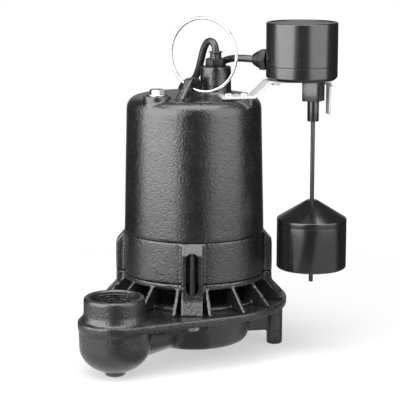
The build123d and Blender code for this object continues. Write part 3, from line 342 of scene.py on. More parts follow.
def white_where_seen(tree, coordinates):
    """Whether a ray comes from a mirror or through glass, and how bright the studio is to it."""
    walls = studio_walls(tree, coordinates)
    path = tree.nodes.new("ShaderNodeLightPath")
    glossy, clear = path.outputs["Is Glossy Ray"], path.outputs["Is Transmission Ray"]
    mirror = maths(tree, "MAXIMUM", glossy, clear)
    mirrored = maths(tree, "MULTIPLY", mirror, walls)
    return mirror, maths(tree, "MAXIMUM", mirrored, path.outputs["Is Camera Ray"])


# %% World
DIM_ROOM = 0.05

world = bpy.data.worlds.new("studio")
bpy.context.scene.world = world
world.use_nodes = True
sky = world.node_tree
mirror, seen = white_where_seen(sky, "Generated")
sky.links.new(maths(sky, "MAXIMUM", seen, DIM_ROOM), sky.nodes["Background"].inputs["Color"])
print("world:", len(sky.nodes), "nodes")

# %% [markdown]
# The floor is a pale sheet that catches the pump's shadow. Near the pump about half of what the
# camera sees is that sheet, and further out it fades into plain white, so the shadow stays soft and
# the sheet has no edge. Mirrors see the studio's walls in it, and a dim grey close to the pump.

# %% Floor
bpy.ops.object.select_all(action="DESELECT")
bpy.ops.mesh.primitive_plane_add(size=40, location=(0, 0, 0))
floor = bpy.context.object
floor.name = "studio_floor"
floor_paint = bpy.data.materials.new("studio_floor")
floor_paint.use_nodes = True
tree = floor_paint.node_tree
floor_shader = tree.nodes["Principled BSDF"]
floor_shader.inputs["Base Color"].default_value = (0.86, 0.86, 0.86, 1)
floor_shader.inputs["Roughness"].default_value = 0.6

# %% Glow of the floor
mirror, seen = white_where_seen(tree, "Object")
place = tree.nodes.new("ShaderNodeTexCoord")
distance = tree.nodes.new("ShaderNodeVectorMath")
distance.operation = "LENGTH"
tree.links.new(place.outputs["Object"], distance.inputs[0])
fade = stretch_range(tree, distance.outputs["Value"], 0.16, 0.50, 0.52, 1.0)
close_by = stretch_range(tree, distance.outputs["Value"], 0.25, 0.45, 0.25, 0.0)
glow = tree.nodes.new("ShaderNodeEmission")
tree.links.new(maths(tree, "MAXIMUM", seen, close_by), glow.inputs["Color"])
path = tree.nodes.new("ShaderNodeLightPath")
seen_share = maths(tree, "MULTIPLY", path.outputs["Is Camera Ray"], fade)
blend_floor = tree.nodes.new("ShaderNodeMixShader")
tree.links.new(maths(tree, "MAXIMUM", seen_share, mirror), blend_floor.inputs[0])
tree.links.new(floor_shader.outputs[0], blend_floor.inputs[1])
tree.links.new(glow.outputs[0], blend_floor.inputs[2])
tree.links.new(blend_floor.outputs[0], tree.nodes["Material Output"].inputs["Surface"])
floor.data.materials.append(floor_paint)
print("floor:", len(tree.nodes), "nodes")

# %% [markdown]
# ## Finishes
# Every finish is a Principled shader with its constants set on its own sockets, and patterns that
# read Object coordinates, so that a pattern stays on the piece when the piece moves. Three small
# helpers do most of the work: one draws a noise, one lets it vary the roughness or the colour, and
# one presses it into the surface as a bump.


# %% Helpers for finishes
def new_finish(name, colour, roughness, metallic=0.0, **sockets):
    """A Principled material with its constant values set on the shader itself."""
    finish = bpy.data.materials.new(name)
    finish.use_nodes = True
    shader = finish.node_tree.nodes["Principled BSDF"]
    shader.inputs["Base Color"].default_value = (*colour, 1)
    shader.inputs["Roughness"].default_value = roughness
    shader.inputs["Metallic"].default_value = metallic
    for socket, value in sockets.items():
        shader.inputs[socket.replace("_", " ")].default_value = value
    return finish


def grain(finish, size, detail=2.0, stretch=(1, 1, 1)):
    """A noise whose lumps are `size` millimetres across, stretched along an axis if asked."""
    nodes, links = finish.node_tree.nodes, finish.node_tree.links
    place = nodes.new("ShaderNodeTexCoord")
    mapping = nodes.new("ShaderNodeMapping")
    mapping.inputs["Scale"].default_value = stretch
    noise = nodes.new("ShaderNodeTexNoise")
    noise.inputs["Scale"].default_value = 1 / (size * MM)
    noise.inputs["Detail"].default_value = detail
    links.new(place.outputs["Object"], mapping.inputs["Vector"])
    links.new(mapping.outputs["Vector"], noise.inputs["Vector"])
    return noise.outputs["Fac"]


def vary(finish, socket, pattern, low, high):
    """Lets a pattern move a value between low and high; the pattern's middle half does the work."""
    tree = finish.node_tree
    target = tree.nodes["Principled BSDF"].inputs[socket]
    if socket != "Base Color":
        tree.links.new(stretch_range(tree, pattern, 0.3, 0.7, low, high), target)
        return
    mix = tree.nodes.new("ShaderNodeMix")
    mix.data_type = "RGBA"
    ends = [end for end in mix.inputs if end.type == "RGBA"]
    ends[0].default_value = (*low, 1)
    ends[1].default_value = (*high, 1)
    tree.links.new(stretch_range(tree, pattern, 0.3, 0.7), mix.inputs["Factor"])
    tree.links.new([end for end in mix.outputs if end.type == "RGBA"][0], target)


def emboss(finish, pattern, depth, coat=False):
    """Presses a pattern into the surface, `depth` millimetres deep, on top of earlier ones."""
    nodes, links = finish.node_tree.nodes, finish.node_tree.links
    bump = nodes.new("ShaderNodeBump")
    bump.inputs["Distance"].default_value = depth * MM
    bump.inputs["Strength"].default_value = 1.0
    links.new(pattern, bump.inputs["Height"])
    target = nodes["Principled BSDF"].inputs["Coat Normal" if coat else "Normal"]
    if target.is_linked:
        links.new(target.links[0].from_socket, bump.inputs["Normal"])
    links.new(bump.outputs["Normal"], target)


# %% [markdown]
# ### Black enamel on sand-cast iron
# The casting keeps the grain of the sand mould, and the thick enamel drowns most of it. What is
# left is an orange peel that breaks up the edge of every highlight, over slow swells in the metal.
# The housing is the smoothest, and the casing and the elbow are coarser, so one function writes
# the finish with the grain as its setting.


# %% Enamel
def enamel(name, peel, swell, roughness):
    """Gloss black enamel; peel and swell are bump depths in millimetres."""
    gloss = {"Specular_IOR_Level": 0.95, "Coat_Weight": 0.55, "Coat_Roughness": 0.16}
    finish = new_finish(name, (0.012, 0.012, 0.0125), roughness, **gloss)
    vary(finish, "Base Color", grain(finish, 30), (0.007, 0.007, 0.0075), (0.012, 0.0115, 0.011))
    vary(finish, "Roughness", grain(finish, 7, 3), roughness - 0.05, roughness + 0.07)
    emboss(finish, grain(finish, 11), swell)
    emboss(finish, grain(finish, 1.7, 1), peel)
    emboss(finish, grain(finish, 1.7, 1), peel * 0.7, coat=True)
    return finish


housing_enamel = enamel("housing_enamel", 0.36, 0.08, 0.23)
casing_enamel = enamel("casing_enamel", 0.50, 0.08, 0.28)
print("enamel written for the housing and for the coarser castings")

# %% [markdown]
# ### Plastics and rubber
# The switch and the float are smooth mouldings. A blow-moulded float is glossier and very slightly
# wavy; the switch case has a fine satin texture. Cords and plugs are soft vinyl with a bloom that
# makes them greyer than the mouldings. The walls inside the castings get a matt coat that is also
# darker and less reflective than the outer enamel, as painted shade inside. They all share one
# recipe: patches that are a little rougher or smoother, and a fine skin pressed into the surface.


# %% Plastics and rubber
def moulded(name, colour, roughness, low, high, patch, skin, depth, detail=2.0, **sockets):
    """A plastic: roughness low to high in patches, and a skin so many millimetres deep."""
    finish = new_finish(name, colour, roughness, **sockets)
    vary(finish, "Roughness", grain(finish, patch, 3), low, high)
    emboss(finish, grain(finish, skin, detail), depth)
    return finish


GLOSSY = {"Specular_IOR_Level": 0.95, "Coat_Weight": 0.4}
VINYL = {"Specular_IOR_Level": 0.85, "Coat_Weight": 0.35}
ROD_GLOSS = {"Specular_IOR_Level": 0.9, "Coat_Weight": 0.3}
DULL = {"Specular_IOR_Level": 0.25}

# matt, and darker and duller than the outer enamel: painted shade for the walls inside the castings
shaded_inner_enamel = moulded(
    "shaded_inner_enamel", (0.006, 0.006, 0.006), 0.75, 0.65, 0.85, 5, 2.4, 0.3, 1, **DULL)
switch_plastic = moulded(
    "switch_plastic", (0.010, 0.010, 0.0105), 0.25, 0.22, 0.28, 5, 0.45, 0.012, **GLOSSY)
float_plastic = moulded(
    "float_plastic", (0.009, 0.009, 0.0095), 0.18, 0.15, 0.22, 9, 16, 0.10, **GLOSSY)
emboss(float_plastic, grain(float_plastic, 0.8), 0.006)
gland_nylon = moulded(
    "gland_nylon", (0.008, 0.008, 0.0085), 0.34, 0.29, 0.4, 3, 0.5, 0.015, Specular_IOR_Level=0.5)
cord_vinyl = moulded("cord_vinyl", (0.02, 0.02, 0.021), 0.34, 0.3, 0.4, 4, 0.9, 0.02, **VINYL)
cord_dark, cord_pale = (0.015, 0.015, 0.016), (0.024, 0.024, 0.025)
vary(cord_vinyl, "Base Color", grain(cord_vinyl, 14, 3), cord_dark, cord_pale)
plug_vinyl = moulded(
    "plug_vinyl", (0.022, 0.022, 0.023), 0.5, 0.44, 0.58, 3, 0.6, 0.03, Specular_IOR_Level=0.5)
rod_black = moulded("rod_black", (0.016, 0.016, 0.017), 0.30, 0.26, 0.38, 2, 0.7, 0.01, **ROD_GLOSS)
seal_rubber = moulded(
    "seal_rubber", (0.02, 0.02, 0.02), 0.6, 0.52, 0.7, 2, 0.8, 0.02, Specular_IOR_Level=0.4)
print("plastics and rubber written")

# %% [markdown]
# The two hard pieces inside that no metal or rubber stands for are the ceramic seat of the seal,
# off-white with faint clouds, and the impeller, a glass-filled nylon with pale flecks in its black.

# %% Ceramic and filled nylon
seal_ceramic = new_finish("seal_ceramic", (0.82, 0.80, 0.74), 0.25)
vary(seal_ceramic, "Base Color", grain(seal_ceramic, 4, 4), (0.78, 0.76, 0.70), (0.86, 0.84, 0.79))

impeller_nylon = new_finish("impeller_nylon", (0.05, 0.05, 0.052), 0.45)
flecks = grain(impeller_nylon, 2, 4)
vary(impeller_nylon, "Base Color", flecks, (0.035, 0.035, 0.037), (0.07, 0.07, 0.072))
emboss(impeller_nylon, grain(impeller_nylon, 0.8), 0.03)
print("seal_ceramic and impeller_nylon written")

# %% [markdown]
# ### Metals
# The strap is bright rolled stainless with fine lines along its length, the ring is polished wire,
# and the bolts are zinc plated, with the faint mottle of the plating. Inside, the shaft is ground,
# the core is a stack of thin sheets, and the windings are varnished copper.


# %% Metals
def metal(name, colour, roughness, lines=(1, 1, 1), mottle=4.0, scratch=0.006, bare=1.0):
    """A bare metal; lines stretches its scratches along an axis, and a dull bloom lowers bare."""
    finish = new_finish(name, colour, roughness, bare)
    darker = tuple(value * 0.86 for value in colour)
    vary(finish, "Base Color", grain(finish, mottle, 4), darker, colour)
    vary(finish, "Roughness", grain(finish, 1.2, 3, lines), roughness * 0.75, roughness * 1.3)
    emboss(finish, grain(finish, 0.6, 3, lines), scratch)
    return finish


strap_steel = metal("strap_steel", (0.74, 0.74, 0.73), 0.38, (0.15, 6, 6), bare=0.5)
bolt_shank = metal("bolt_shank", (0.08, 0.08, 0.08), 0.5)
ring_wire = metal("ring_wire", (0.88, 0.88, 0.88), 0.10, mottle=12, scratch=0.002)
zinc_plate = metal("zinc_plate", (0.78, 0.78, 0.76), 0.30)
ground_steel = metal("ground_steel", (0.60, 0.60, 0.61), 0.24, (8, 8, 0.3))
lamination = metal("lamination", (0.34, 0.34, 0.36), 0.42, (0.4, 0.4, 12), scratch=0.05)
copper_wire = metal("copper_wire", (0.72, 0.34, 0.16), 0.32, (0.5, 0.5, 9), scratch=0.08)
die_cast = metal("die_cast", (0.62, 0.62, 0.63), 0.40, scratch=0.02)
blade_brass = metal("blade_brass", (0.78, 0.60, 0.30), 0.24, (0.3, 0.3, 5))
print(len(bpy.data.materials), "finishes written")

# %% [markdown]
# ## Tools of the workshop
# Most of the pump is turned or cast. A turned piece starts as a profile: one vertex is pulled from
# corner to corner, and the line is spun round the piece's axis. A plate starts as an outline that
# is filled and pulled up. A casting is roughed out of such forms, fused into one skin by a voxel
# remesh, softened, and given the slow swells of a sand mould. Machined faces and holes are cut
# last, so that they stay sharp where the cast skin is soft.


# %% Selecting, drawing a line, placing
def pick(piece):
    """Selects one piece alone."""
    bpy.ops.object.select_all(action="DESELECT")
    piece.select_set(True)
    bpy.context.view_layer.objects.active = piece


def draw_line(name, points):
    """Pulls one vertex through points given in millimetres, and stays in edit mode."""
    bpy.ops.object.select_all(action="DESELECT")
    bpy.ops.mesh.primitive_plane_add(size=MM)
    piece = bpy.context.object
    piece.name = piece.data.name = name
    bpy.ops.object.mode_set(mode="EDIT")
    bpy.ops.mesh.select_all(action="SELECT")
    bpy.ops.mesh.merge(type="CENTER")
    bpy.ops.transform.translate(value=Vector(points[0]) * MM)
    for here, there in zip(points, points[1:]):
        step = (Vector(there) - Vector(here)) * MM
        bpy.ops.mesh.extrude_vertices_move(TRANSFORM_OT_translate={"value": step})
    bpy.ops.mesh.select_all(action="SELECT")
    return piece


def settle(piece, place):
    """Puts a piece in its place and writes the place into its mesh."""
    pick(piece)
    piece.matrix_world = place
    bpy.ops.object.transform_apply(location=True, rotation=True, scale=True)
    return piece


def upright(x, y, z, angle):
    """A place whose X runs level in a direction, whose Y is up, and whose Z is level across."""
    turn = Matrix.Rotation(math.radians(angle), 4, "Z") @ Matrix.Rotation(math.radians(90), 4, "X")
    return Matrix.Translation(Vector((x, y, z)) * MM) @ turn


def level(x, y, z=0.0, angle=0.0):
    """A place whose X runs level in a direction and whose Z is up."""
    return Matrix.Translation(Vector((x, y, z)) * MM) @ Matrix.Rotation(math.radians(angle), 4, "Z")


# %% Outlines with rounded corners
def rounded(corners, arc_steps=5):
    """Points of a closed outline; a corner is (x, y), or (x, y, radius) where it is rounded."""
    points = []
    for index, corner in enumerate(corners):
        here = Vector(corner[:2])
        if len(corner) == 2:
            points.append(tuple(here))
            continue
        radius = corner[2]
        back = (Vector(corners[index - 1][:2]) - here).normalized()
        ahead = (Vector(corners[(index + 1) % len(corners)][:2]) - here).normalized()
        half = back.angle(ahead) / 2
        middle = here + (back + ahead).normalized() * (radius / math.sin(half))
        spoke = here + back * (radius / math.tan(half)) - middle
        sweep = (math.pi - 2 * half) * (1 if (-back).cross(ahead) > 0 else -1)
        for step in range(arc_steps + 1):
            turn = Matrix.Rotation(sweep * step / arc_steps, 2)
            points.append(tuple(middle + turn @ spoke))
    return points


def polygon(count, apothem, turn=0.0):
    """Corners of a regular polygon, by the distance to its flats."""
    reach = apothem / math.cos(math.pi / count)
    angles = [math.tau * (index + 0.5) / count + math.radians(turn) for index in range(count)]
    return [(reach * math.cos(angle), reach * math.sin(angle)) for angle in angles]


# %% Turning and pulling up
def lathe(name, profile, place=None, steps=96):
    """Spins a profile of (radius, height) points about Z, closing one that leaves the axis."""
    if profile[0][0] > 0 or profile[-1][0] > 0:
        profile = profile + profile[:1]
    piece = draw_line(name, [(radius, 0, height) for radius, height in profile])
    bpy.ops.mesh.spin(steps=steps, angle=math.tau, center=(0, 0, 0), axis=(0, 0, 1))
    bpy.ops.mesh.select_all(action="SELECT")
    bpy.ops.mesh.remove_doubles(threshold=0.004 * MM)
    bpy.ops.mesh.normals_make_consistent(inside=False)
    bpy.ops.object.mode_set(mode="OBJECT")
    return settle(piece, place) if place else piece


def slab(name, shape, bottom, top, place=None):
    """Fills an outline and pulls it up from one height to another."""
    piece = draw_line(name, [(x, y, bottom) for x, y in shape + shape[:1]])
    bpy.ops.mesh.remove_doubles(threshold=0.004 * MM)
    bpy.ops.mesh.select_all(action="SELECT")
    bpy.ops.mesh.edge_face_add()
    rise = {"value": (0, 0, (top - bottom) * MM)}
    bpy.ops.mesh.extrude_region_move(TRANSFORM_OT_translate=rise)
    bpy.ops.mesh.select_all(action="SELECT")
    bpy.ops.mesh.normals_make_consistent(inside=False)
    bpy.ops.object.mode_set(mode="OBJECT")
    return settle(piece, place) if place else piece


# %% Joining and cutting
def fuse(name, pieces):
    """Joins pieces into one object, as they stand."""
    bpy.ops.object.select_all(action="DESELECT")
    for piece in pieces:
        piece.select_set(True)
    bpy.context.view_layer.objects.active = pieces[0]
    if len(pieces) > 1:
        bpy.ops.object.join()
    pieces[0].name = pieces[0].data.name = name
    return pieces[0]


def carve(piece, tool, operation="DIFFERENCE"):
    """Cuts a tool out of a piece, or adds it, and throws the tool away."""
    pick(piece)
    change = piece.modifiers.new("carve", "BOOLEAN")
    change.operation = operation
    change.solver = "EXACT"
    change.use_self = False
    change.object = tool
    bpy.ops.object.modifier_apply(modifier="carve")
    bpy.data.objects.remove(tool)
    return piece


# %% Breaking edges
def break_edges(piece, width, rounds=2, angle=35):
    """Rounds every edge sharper than an angle, as a deburred or moulded edge is."""
    pick(piece)
    edges = piece.modifiers.new("edges", "BEVEL")
    edges.width = width * MM
    edges.segments = rounds
    edges.limit_method = "ANGLE"
    edges.angle_limit = math.radians(angle)
    edges.use_clamp_overlap = True
    bpy.ops.object.modifier_apply(modifier="edges")
    return piece


# %% [markdown]
# A sand casting is one rough skin without a crease, so its joined forms are wrapped in a voxel
# mesh, smoothed a little, and pushed in and out by less than half a millimetre of cloudy noise.


# %% The skin of a casting
def sand_cast(piece, voxel, softening=4, swell=0.3):
    """One skin over the joined forms, with soft edges and the swells of a sand mould."""
    pick(piece)
    skin = piece.modifiers.new("skin", "REMESH")
    skin.mode = "VOXEL"
    skin.voxel_size = voxel * MM
    bpy.ops.object.modifier_apply(modifier="skin")
    soft = piece.modifiers.new("soft", "SMOOTH")
    soft.factor = 0.5
    soft.iterations = softening
    bpy.ops.object.modifier_apply(modifier="soft")
    clouds = bpy.data.textures.new("sand_swell", "CLOUDS")
    clouds.noise_scale = 15 * MM
    swells = piece.modifiers.new("swells", "DISPLACE")
    swells.texture = clouds
    swells.strength = swell * MM
    swells.mid_level = 0.5
    bpy.ops.object.modifier_apply(modifier="swells")
    bpy.data.textures.remove(clouds)
    return piece


# %% Completing a piece
def complete(piece, body, slot, finish, *nodes, angle=32):
    """Gives a piece its finish and its place in the frame."""
    piece.data.materials.clear()
    piece.data.materials.append(finish)
    pick(piece)
    bpy.ops.object.shade_smooth_by_angle(angle=math.radians(angle))
    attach(piece, body)
    if nodes:
        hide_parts(*nodes)
    print(f"{piece.name}: {len(piece.data.polygons)} faces")
    return piece


# %% [markdown]
# ## The casting of the pump
# Four iron castings are stacked and drawn together by four long bolts: the pump casing with its
# discharge elbow, the strainer, the seal housing with four slotted lugs, and the motor housing.
# Their levels and radii are named here once, because neighbours share them.

# %% Levels and radii shared by the castings
CASING_FLOOR = 9.5
FLANGE_BOTTOM = 46.0
FLANGE_TOP = 53.5
PLATE_BOTTOM = 53.6
STRAINER_TOP = 80.0
SEAM = 120.0
ROOF = 252.5
FLANGE_RADIUS = 91.5
PAD_RADIUS = 34.5
WAIST_RADIUS = 69.7
BOLT_CIRCLE = 72.0
LUG_HALF_WIDTH = 10.2
FAR = 99.0  # wider than any casting
DISCHARGE = (-74.0, -95.6)
DISCHARGE_ANGLE = math.degrees(math.atan2(DISCHARGE[1], DISCHARGE[0]))
LUG_ANGLES = [-91.2 + 90 * index for index in range(4)]
RIB_ANGLES = [-91.2 + 22.5 * (index + 0.5) for index in range(16)]
TOWER = (21.0, 2.0)
FILLER = (-35.0, -36.0)
SWITCH = (103.0, -19.0)
ROD = (114.5, -17.5)
BRACKET_START = (25.0, -35.0)
BRACKET_TURN = 11.5
print("castings from", CASING_FLOOR, "to", ROOF, "mm above the ground")

# %% [markdown]
# Two castings that meet leave a fine dark line, because their edges are broken before they are
# painted. One ring with a sharp inner edge, taken away from both, makes that line. And the walls
# that face inwards are given a matt coat, darker and duller than the outer enamel: painted shade.


# %% Helpers for the castings
def on_circle(radius, angle):
    """A point of a circle about the pump's axis, by its angle in degrees."""
    return radius * math.cos(math.radians(angle)), radius * math.sin(math.radians(angle))


def seam_groove(height):
    """A ring that bevels the outer edges of two castings where they meet."""
    line = [(66.5, height), (70.9, height - 1.3), (70.9, height + 1.3)]
    return lathe("seam_groove", line, steps=128)


def peg(radius, bottom, top, place=None, steps=48):
    """A plain round peg: it drills a hole, faces a casting off, or is added as a spigot."""
    return lathe("peg", [(0, bottom), (radius, bottom), (radius, top), (0, top)], place, steps)


def matt_shade_inside(piece, radius, bottom, top):
    """Gives the faces inside a radius and between two levels the matt inner coat, darkened as
    painted shade.
    """
    piece.data.materials.append(shaded_inner_enamel)
    count = 0
    for face in piece.data.polygons:
        inside = math.hypot(face.center.x, face.center.y) < radius * MM
        if inside and bottom * MM < face.center.z < top * MM:
            face.material_index = 1
            count += 1
    print(piece.name, "has", count, "matt faces inside")


# %% [markdown]
# ### Motor housing
# A deep cup turned upside down: nearly straight sides with a little draft, a round shoulder, and a
# flat roof that carries a tower for the cord, a lifting ear, a filler boss and a pad for the switch
# bracket. The outer form is fused and softened as a casting first; the bore, the holes and the
# seat of the bearing are cut into it afterwards.


# %% [markdown]
# The ear is an upright rib on the roof with a hole for the wire ring. Its outline is drawn as seen
# from the side and pulled to its thickness both ways, so that the hole's middle, the ring's hinge,
# is one point of the same drawing.


# %% Lifting ear
EAR = upright(-2.7, -17.6, 0, 62)
EAR_HOLE = (-4, 263, 0)


def ear_form():
    corners = [(-32.0, 247.0), (23.3, 247.0), (9.5, 271.2, 5.0), (-5.0, 271.2, 4.0)]
    return slab("ear", rounded(corners), -4.4, 4.4, EAR)


# %% Outer form of the motor housing
def housing_form():
    sides = [(0, SEAM), (68.4, SEAM), (65.3, ROOF, 12), (0, ROOF)]
    drum = lathe("drum", rounded(sides, 8), steps=128)
    tower_line = [(0, 245), (20.5, 245), (20.5, 253.2), (15.2, 255.8, 3.0)]
    tower_line += [(14.9, 280.7, 1.0), (0, 280.7)]
    tower = lathe("tower", rounded(tower_line), level(*TOWER), steps=64)
    boss_line = [(0, 240), (13.4, 240), (13.2, 256.6, 0.9), (0, 256.6)]
    boss = lathe("boss", rounded(boss_line), level(*FILLER), steps=64)
    pad_line = rounded([(0, -10.5, 4), (31, -10.5, 4), (31, 10.5, 4), (0, 10.5, 4)])
    pad = slab("pad", pad_line, 245, 254.05, level(*BRACKET_START, 0, BRACKET_TURN))
    return fuse("motor_housing_cast", [drum, tower, boss, ear_form(), pad])


motor_housing = sand_cast(housing_form(), 1.25, softening=3, swell=0.12)
print("motor housing cast")

# %% Bore, faces and holes of the motor housing
bore_line = [(0, 110), (60, 110), (60, 246, 3), (19.5, 246), (19.5, 232), (16.1, 232)]
bore_line += [(16.1, 246), (0, 246)]
carve(motor_housing, lathe("bore", rounded(bore_line), steps=128))
carve(motor_housing, peg(7.6, 240, 300, level(*TOWER)))
carve(motor_housing, peg(40, 280.5, 300, level(*TOWER)))
filler_line = [(0, 240), (6.1, 240), (6.1, 255), (10.3, 255), (10.3, 270), (0, 270)]
carve(motor_housing, lathe("filler_way", filler_line, level(*FILLER), 48))
carve(motor_housing, peg(4.4, -8, 8, EAR @ Matrix.Translation(Vector(EAR_HOLE) * MM), 40))
carve(motor_housing, peg(FAR, 100, SEAM + 0.15))
carve(motor_housing, seam_groove(SEAM))
complete(motor_housing, "pump", "cast_paint", housing_enamel, "motor_housing", angle=40)

# %% [markdown]
# ### Seal housing
# The short ring below the motor holds the lower bearing and the shaft seal in oil. Four lugs stand
# out from it, each with a hood that slopes back to the seam and a deep slot, round at both ends,
# in which the tie bolt can be seen. The slot runs on down into the strainer's leg.


# %% Slots and holes for the tie bolts
SLOT_HALF_WIDTH = 6.0


def lug_slots():
    """The tool that cuts all four slots: long shapes with round ends, driven in from outside."""
    half = SLOT_HALF_WIDTH
    ends = [(-half, 71.5, half), (half, 71.5, half), (half, 112.0, half), (-half, 112.0, half)]
    tools = []
    for angle in LUG_ANGLES:
        x, y = on_circle(66.5, angle)
        tools.append(slab("slot", rounded(ends, 8), -5, 60, upright(x, y, 0, angle + 90)))
    return fuse("slots", tools)


def bolt_holes(bottom, top):
    """The tool that drills all four holes of the tie bolts between two levels."""
    places = [level(*on_circle(BOLT_CIRCLE, angle)) for angle in LUG_ANGLES]
    return fuse("bolt_holes", [peg(3.3, bottom, top, place, 24) for place in places])


# %% Outer form of the seal housing
def lug_form(angle):
    corners = [(61, 80), (76.6, 80), (76.6, 109.5, 3), (68.0, 119.8), (61, 119.8)]
    return slab("lug", rounded(corners), -LUG_HALF_WIDTH, LUG_HALF_WIDTH, upright(0, 0, 0, angle))


def seal_housing_form():
    sides = [(0, 80), (69.6, 80), (68.4, SEAM), (0, SEAM)]
    drum = lathe("drum", sides, steps=128)
    return fuse("seal_housing_cast", [drum] + [lug_form(angle) for angle in LUG_ANGLES])


seal_housing = sand_cast(seal_housing_form(), 1.0, softening=4, swell=0.22)
print("seal housing cast")

# %% [markdown]
# The oil chamber, the seat of the bearing and both joint faces are then turned in the casting. The
# spigot that fits the motor housing, the hub and the collar of the bearing are machined shapes, so
# they are added after the cast skin is made, and keep their sharp edges.

# %% Machined shapes of the seal housing
carve(seal_housing, lug_slots())
top_line = [(19.5, 88), (55, 88, 2), (55, 130), (19.5, 130)]
carve(seal_housing, lathe("oil_chamber_top", rounded(top_line), steps=96))
seat_line = [(0, 72), (10, 72), (10, 88), (20.1, 88), (20.1, 130), (0, 130)]
carve(seal_housing, lathe("bearing_seat", seat_line))
carve(seal_housing, peg(FAR, SEAM - 0.15, 140))
carve(seal_housing, peg(FAR, 70, STRAINER_TOP + 0.05))
spigot_line = [(55, 119.5), (59.9, 119.5), (59.9, 125.6, 0.6), (55, 125.6, 0.6)]
carve(seal_housing, lathe("spigot", rounded(spigot_line), steps=128), "UNION")
hub_line = [(14.1, 72), (21.6, 72, 1), (22, 81), (14.1, 81)]
carve(seal_housing, lathe("hub", rounded(hub_line), steps=96), "UNION")
collar_line = [(20.1, 87.5), (26, 87.5), (24, 103, 1), (20.1, 103)]
carve(seal_housing, lathe("collar", rounded(collar_line), steps=96), "UNION")
carve(seal_housing, bolt_holes(79, 111.5))
carve(seal_housing, seam_groove(SEAM))
carve(seal_housing, seam_groove(STRAINER_TOP))
complete(seal_housing, "pump", "cast_paint", casing_enamel, "seal_housing", angle=40)
matt_shade_inside(seal_housing, 60, 70, 80.3)

# %% [markdown]
# ### Strainer
# Sixteen short ribs stand like fins between a foot plate and the ring under the seal housing, and
# keep stones out of the impeller. Under each lug a solid leg carries the clamping force of the
# bolt, and its face slopes out to the flange like the edge of the ribs beside it.


# %% Ribs, legs and rings of the strainer
def rib_form(angle):
    corners = [(57, PLATE_BOTTOM), (89.6, PLATE_BOTTOM), (89.2, 55.2), (70.2, 75.2, 2), (57, 76)]
    return slab("rib", rounded(corners, 3), -1.75, 1.75, upright(0, 0, 0, angle))


def leg_form(angle):
    corners = [(61, PLATE_BOTTOM), (86.6, PLATE_BOTTOM), (77.7, 66.5, 3), (76.5, 72)]
    corners += [(76.5, 79.9), (61, 79.9)]
    return slab("leg", rounded(corners), -LUG_HALF_WIDTH, LUG_HALF_WIDTH, upright(0, 0, 0, angle))


def strainer_form():
    ring_line = [(57.8, 74), (WAIST_RADIUS, 74, 1.2), (69.6, 79.9), (57.8, 79.9)]
    ring = lathe("ring", rounded(ring_line), steps=128)
    plate_line = [(24, PLATE_BOTTOM), (WAIST_RADIUS, PLATE_BOTTOM), (WAIST_RADIUS, 57), (24, 57)]
    plate = lathe("plate", plate_line, steps=128)
    lip = lathe("lip", rounded([(24, 54), (27.6, 54), (27.6, 59.6, 1), (24, 59.6, 1)]), steps=96)
    fins = [rib_form(angle) for angle in RIB_ANGLES]
    legs = [leg_form(angle) for angle in LUG_ANGLES]
    return fuse("strainer_cast", [ring, plate, lip] + fins + legs)


# %% Strainer
strainer = sand_cast(strainer_form(), 0.9, softening=3, swell=0.25)
carve(strainer, lug_slots())
carve(strainer, bolt_holes(50, 90))
carve(strainer, peg(FAR, 79.9, 99))
carve(strainer, peg(FAR, 40, PLATE_BOTTOM))
complete(strainer, "pump", "cast_paint", casing_enamel, "strainer", angle=40)
matt_shade_inside(strainer, 62, 50, 79.3)

# %% [markdown]
# ### Pump casing
# The casing is a bowl under a broad flange. The flange runs out in a smooth tangent curve to the
# pad of the discharge, where an elbow hangs below and a threaded socket for a 1-1/2 inch pipe
# stands above. Small bosses under the flange take the bolt heads, with gussets beside them, and
# two legs and the foot of the elbow make the three points on which the pump stands.


# %% Outline of the flange: two circles and their common tangents
def flange_outline():
    lean = math.degrees(math.acos((FLANGE_RADIUS - PAD_RADIUS) / math.hypot(*DISCHARGE)))
    points = []
    for step in range(91):
        angle = DISCHARGE_ANGLE + lean + step * (360 - 2 * lean) / 90
        points.append(on_circle(FLANGE_RADIUS, angle))
    for step in range(33):
        x, y = on_circle(PAD_RADIUS, DISCHARGE_ANGLE - lean + step * 2 * lean / 32)
        points.append((DISCHARGE[0] + x, DISCHARGE[1] + y))
    return points


# %% [markdown]
# The elbow is roughed out of four turned forms: a round-bottomed bulb, the collar of the socket on
# top of it, the small foot below, and the throat that joins it to the bowl. The voxel skin then
# melts them together. Fillets along the seams would be sharper, but they fail where three meet.


# %% Discharge elbow and its socket
ELBOW_LEVEL = 28.5


def elbow_forms():
    bulb_line = [(0, 3)]
    for step in range(1, 13):
        angle = math.radians(-90 + 7.5 * step)
        bulb_line.append((33.5 * math.cos(angle), ELBOW_LEVEL + 25.5 * math.sin(angle)))
    bulb_line += [(33.5, 47), (0, 47)]
    bulb = lathe("bulb", bulb_line, level(*DISCHARGE), steps=96)
    collar_line = [(0, 46), (PAD_RADIUS, 46), (34.3, 52.6, 1.2), (30.5, 54.6, 1.8), (28.9, 60)]
    collar_line += [(28.7, 75.8, 2.6), (0, 75.8)]
    collar = lathe("collar", rounded(collar_line), level(*DISCHARGE), steps=96)
    foot_line = rounded([(0, 0), (9.8, 0, 1), (10.6, 9), (0, 9)])
    foot = lathe("foot", foot_line, level(*DISCHARGE), steps=48)
    x, y = on_circle(40, DISCHARGE_ANGLE)
    throat = peg(19.5, 0, 84, upright(x, y, ELBOW_LEVEL, DISCHARGE_ANGLE + 90), 64)
    return [bulb, collar, foot, throat]


# %% Bosses, gussets and legs
LEGS = ((80.7, 13.3), (-41.0, 70.5))


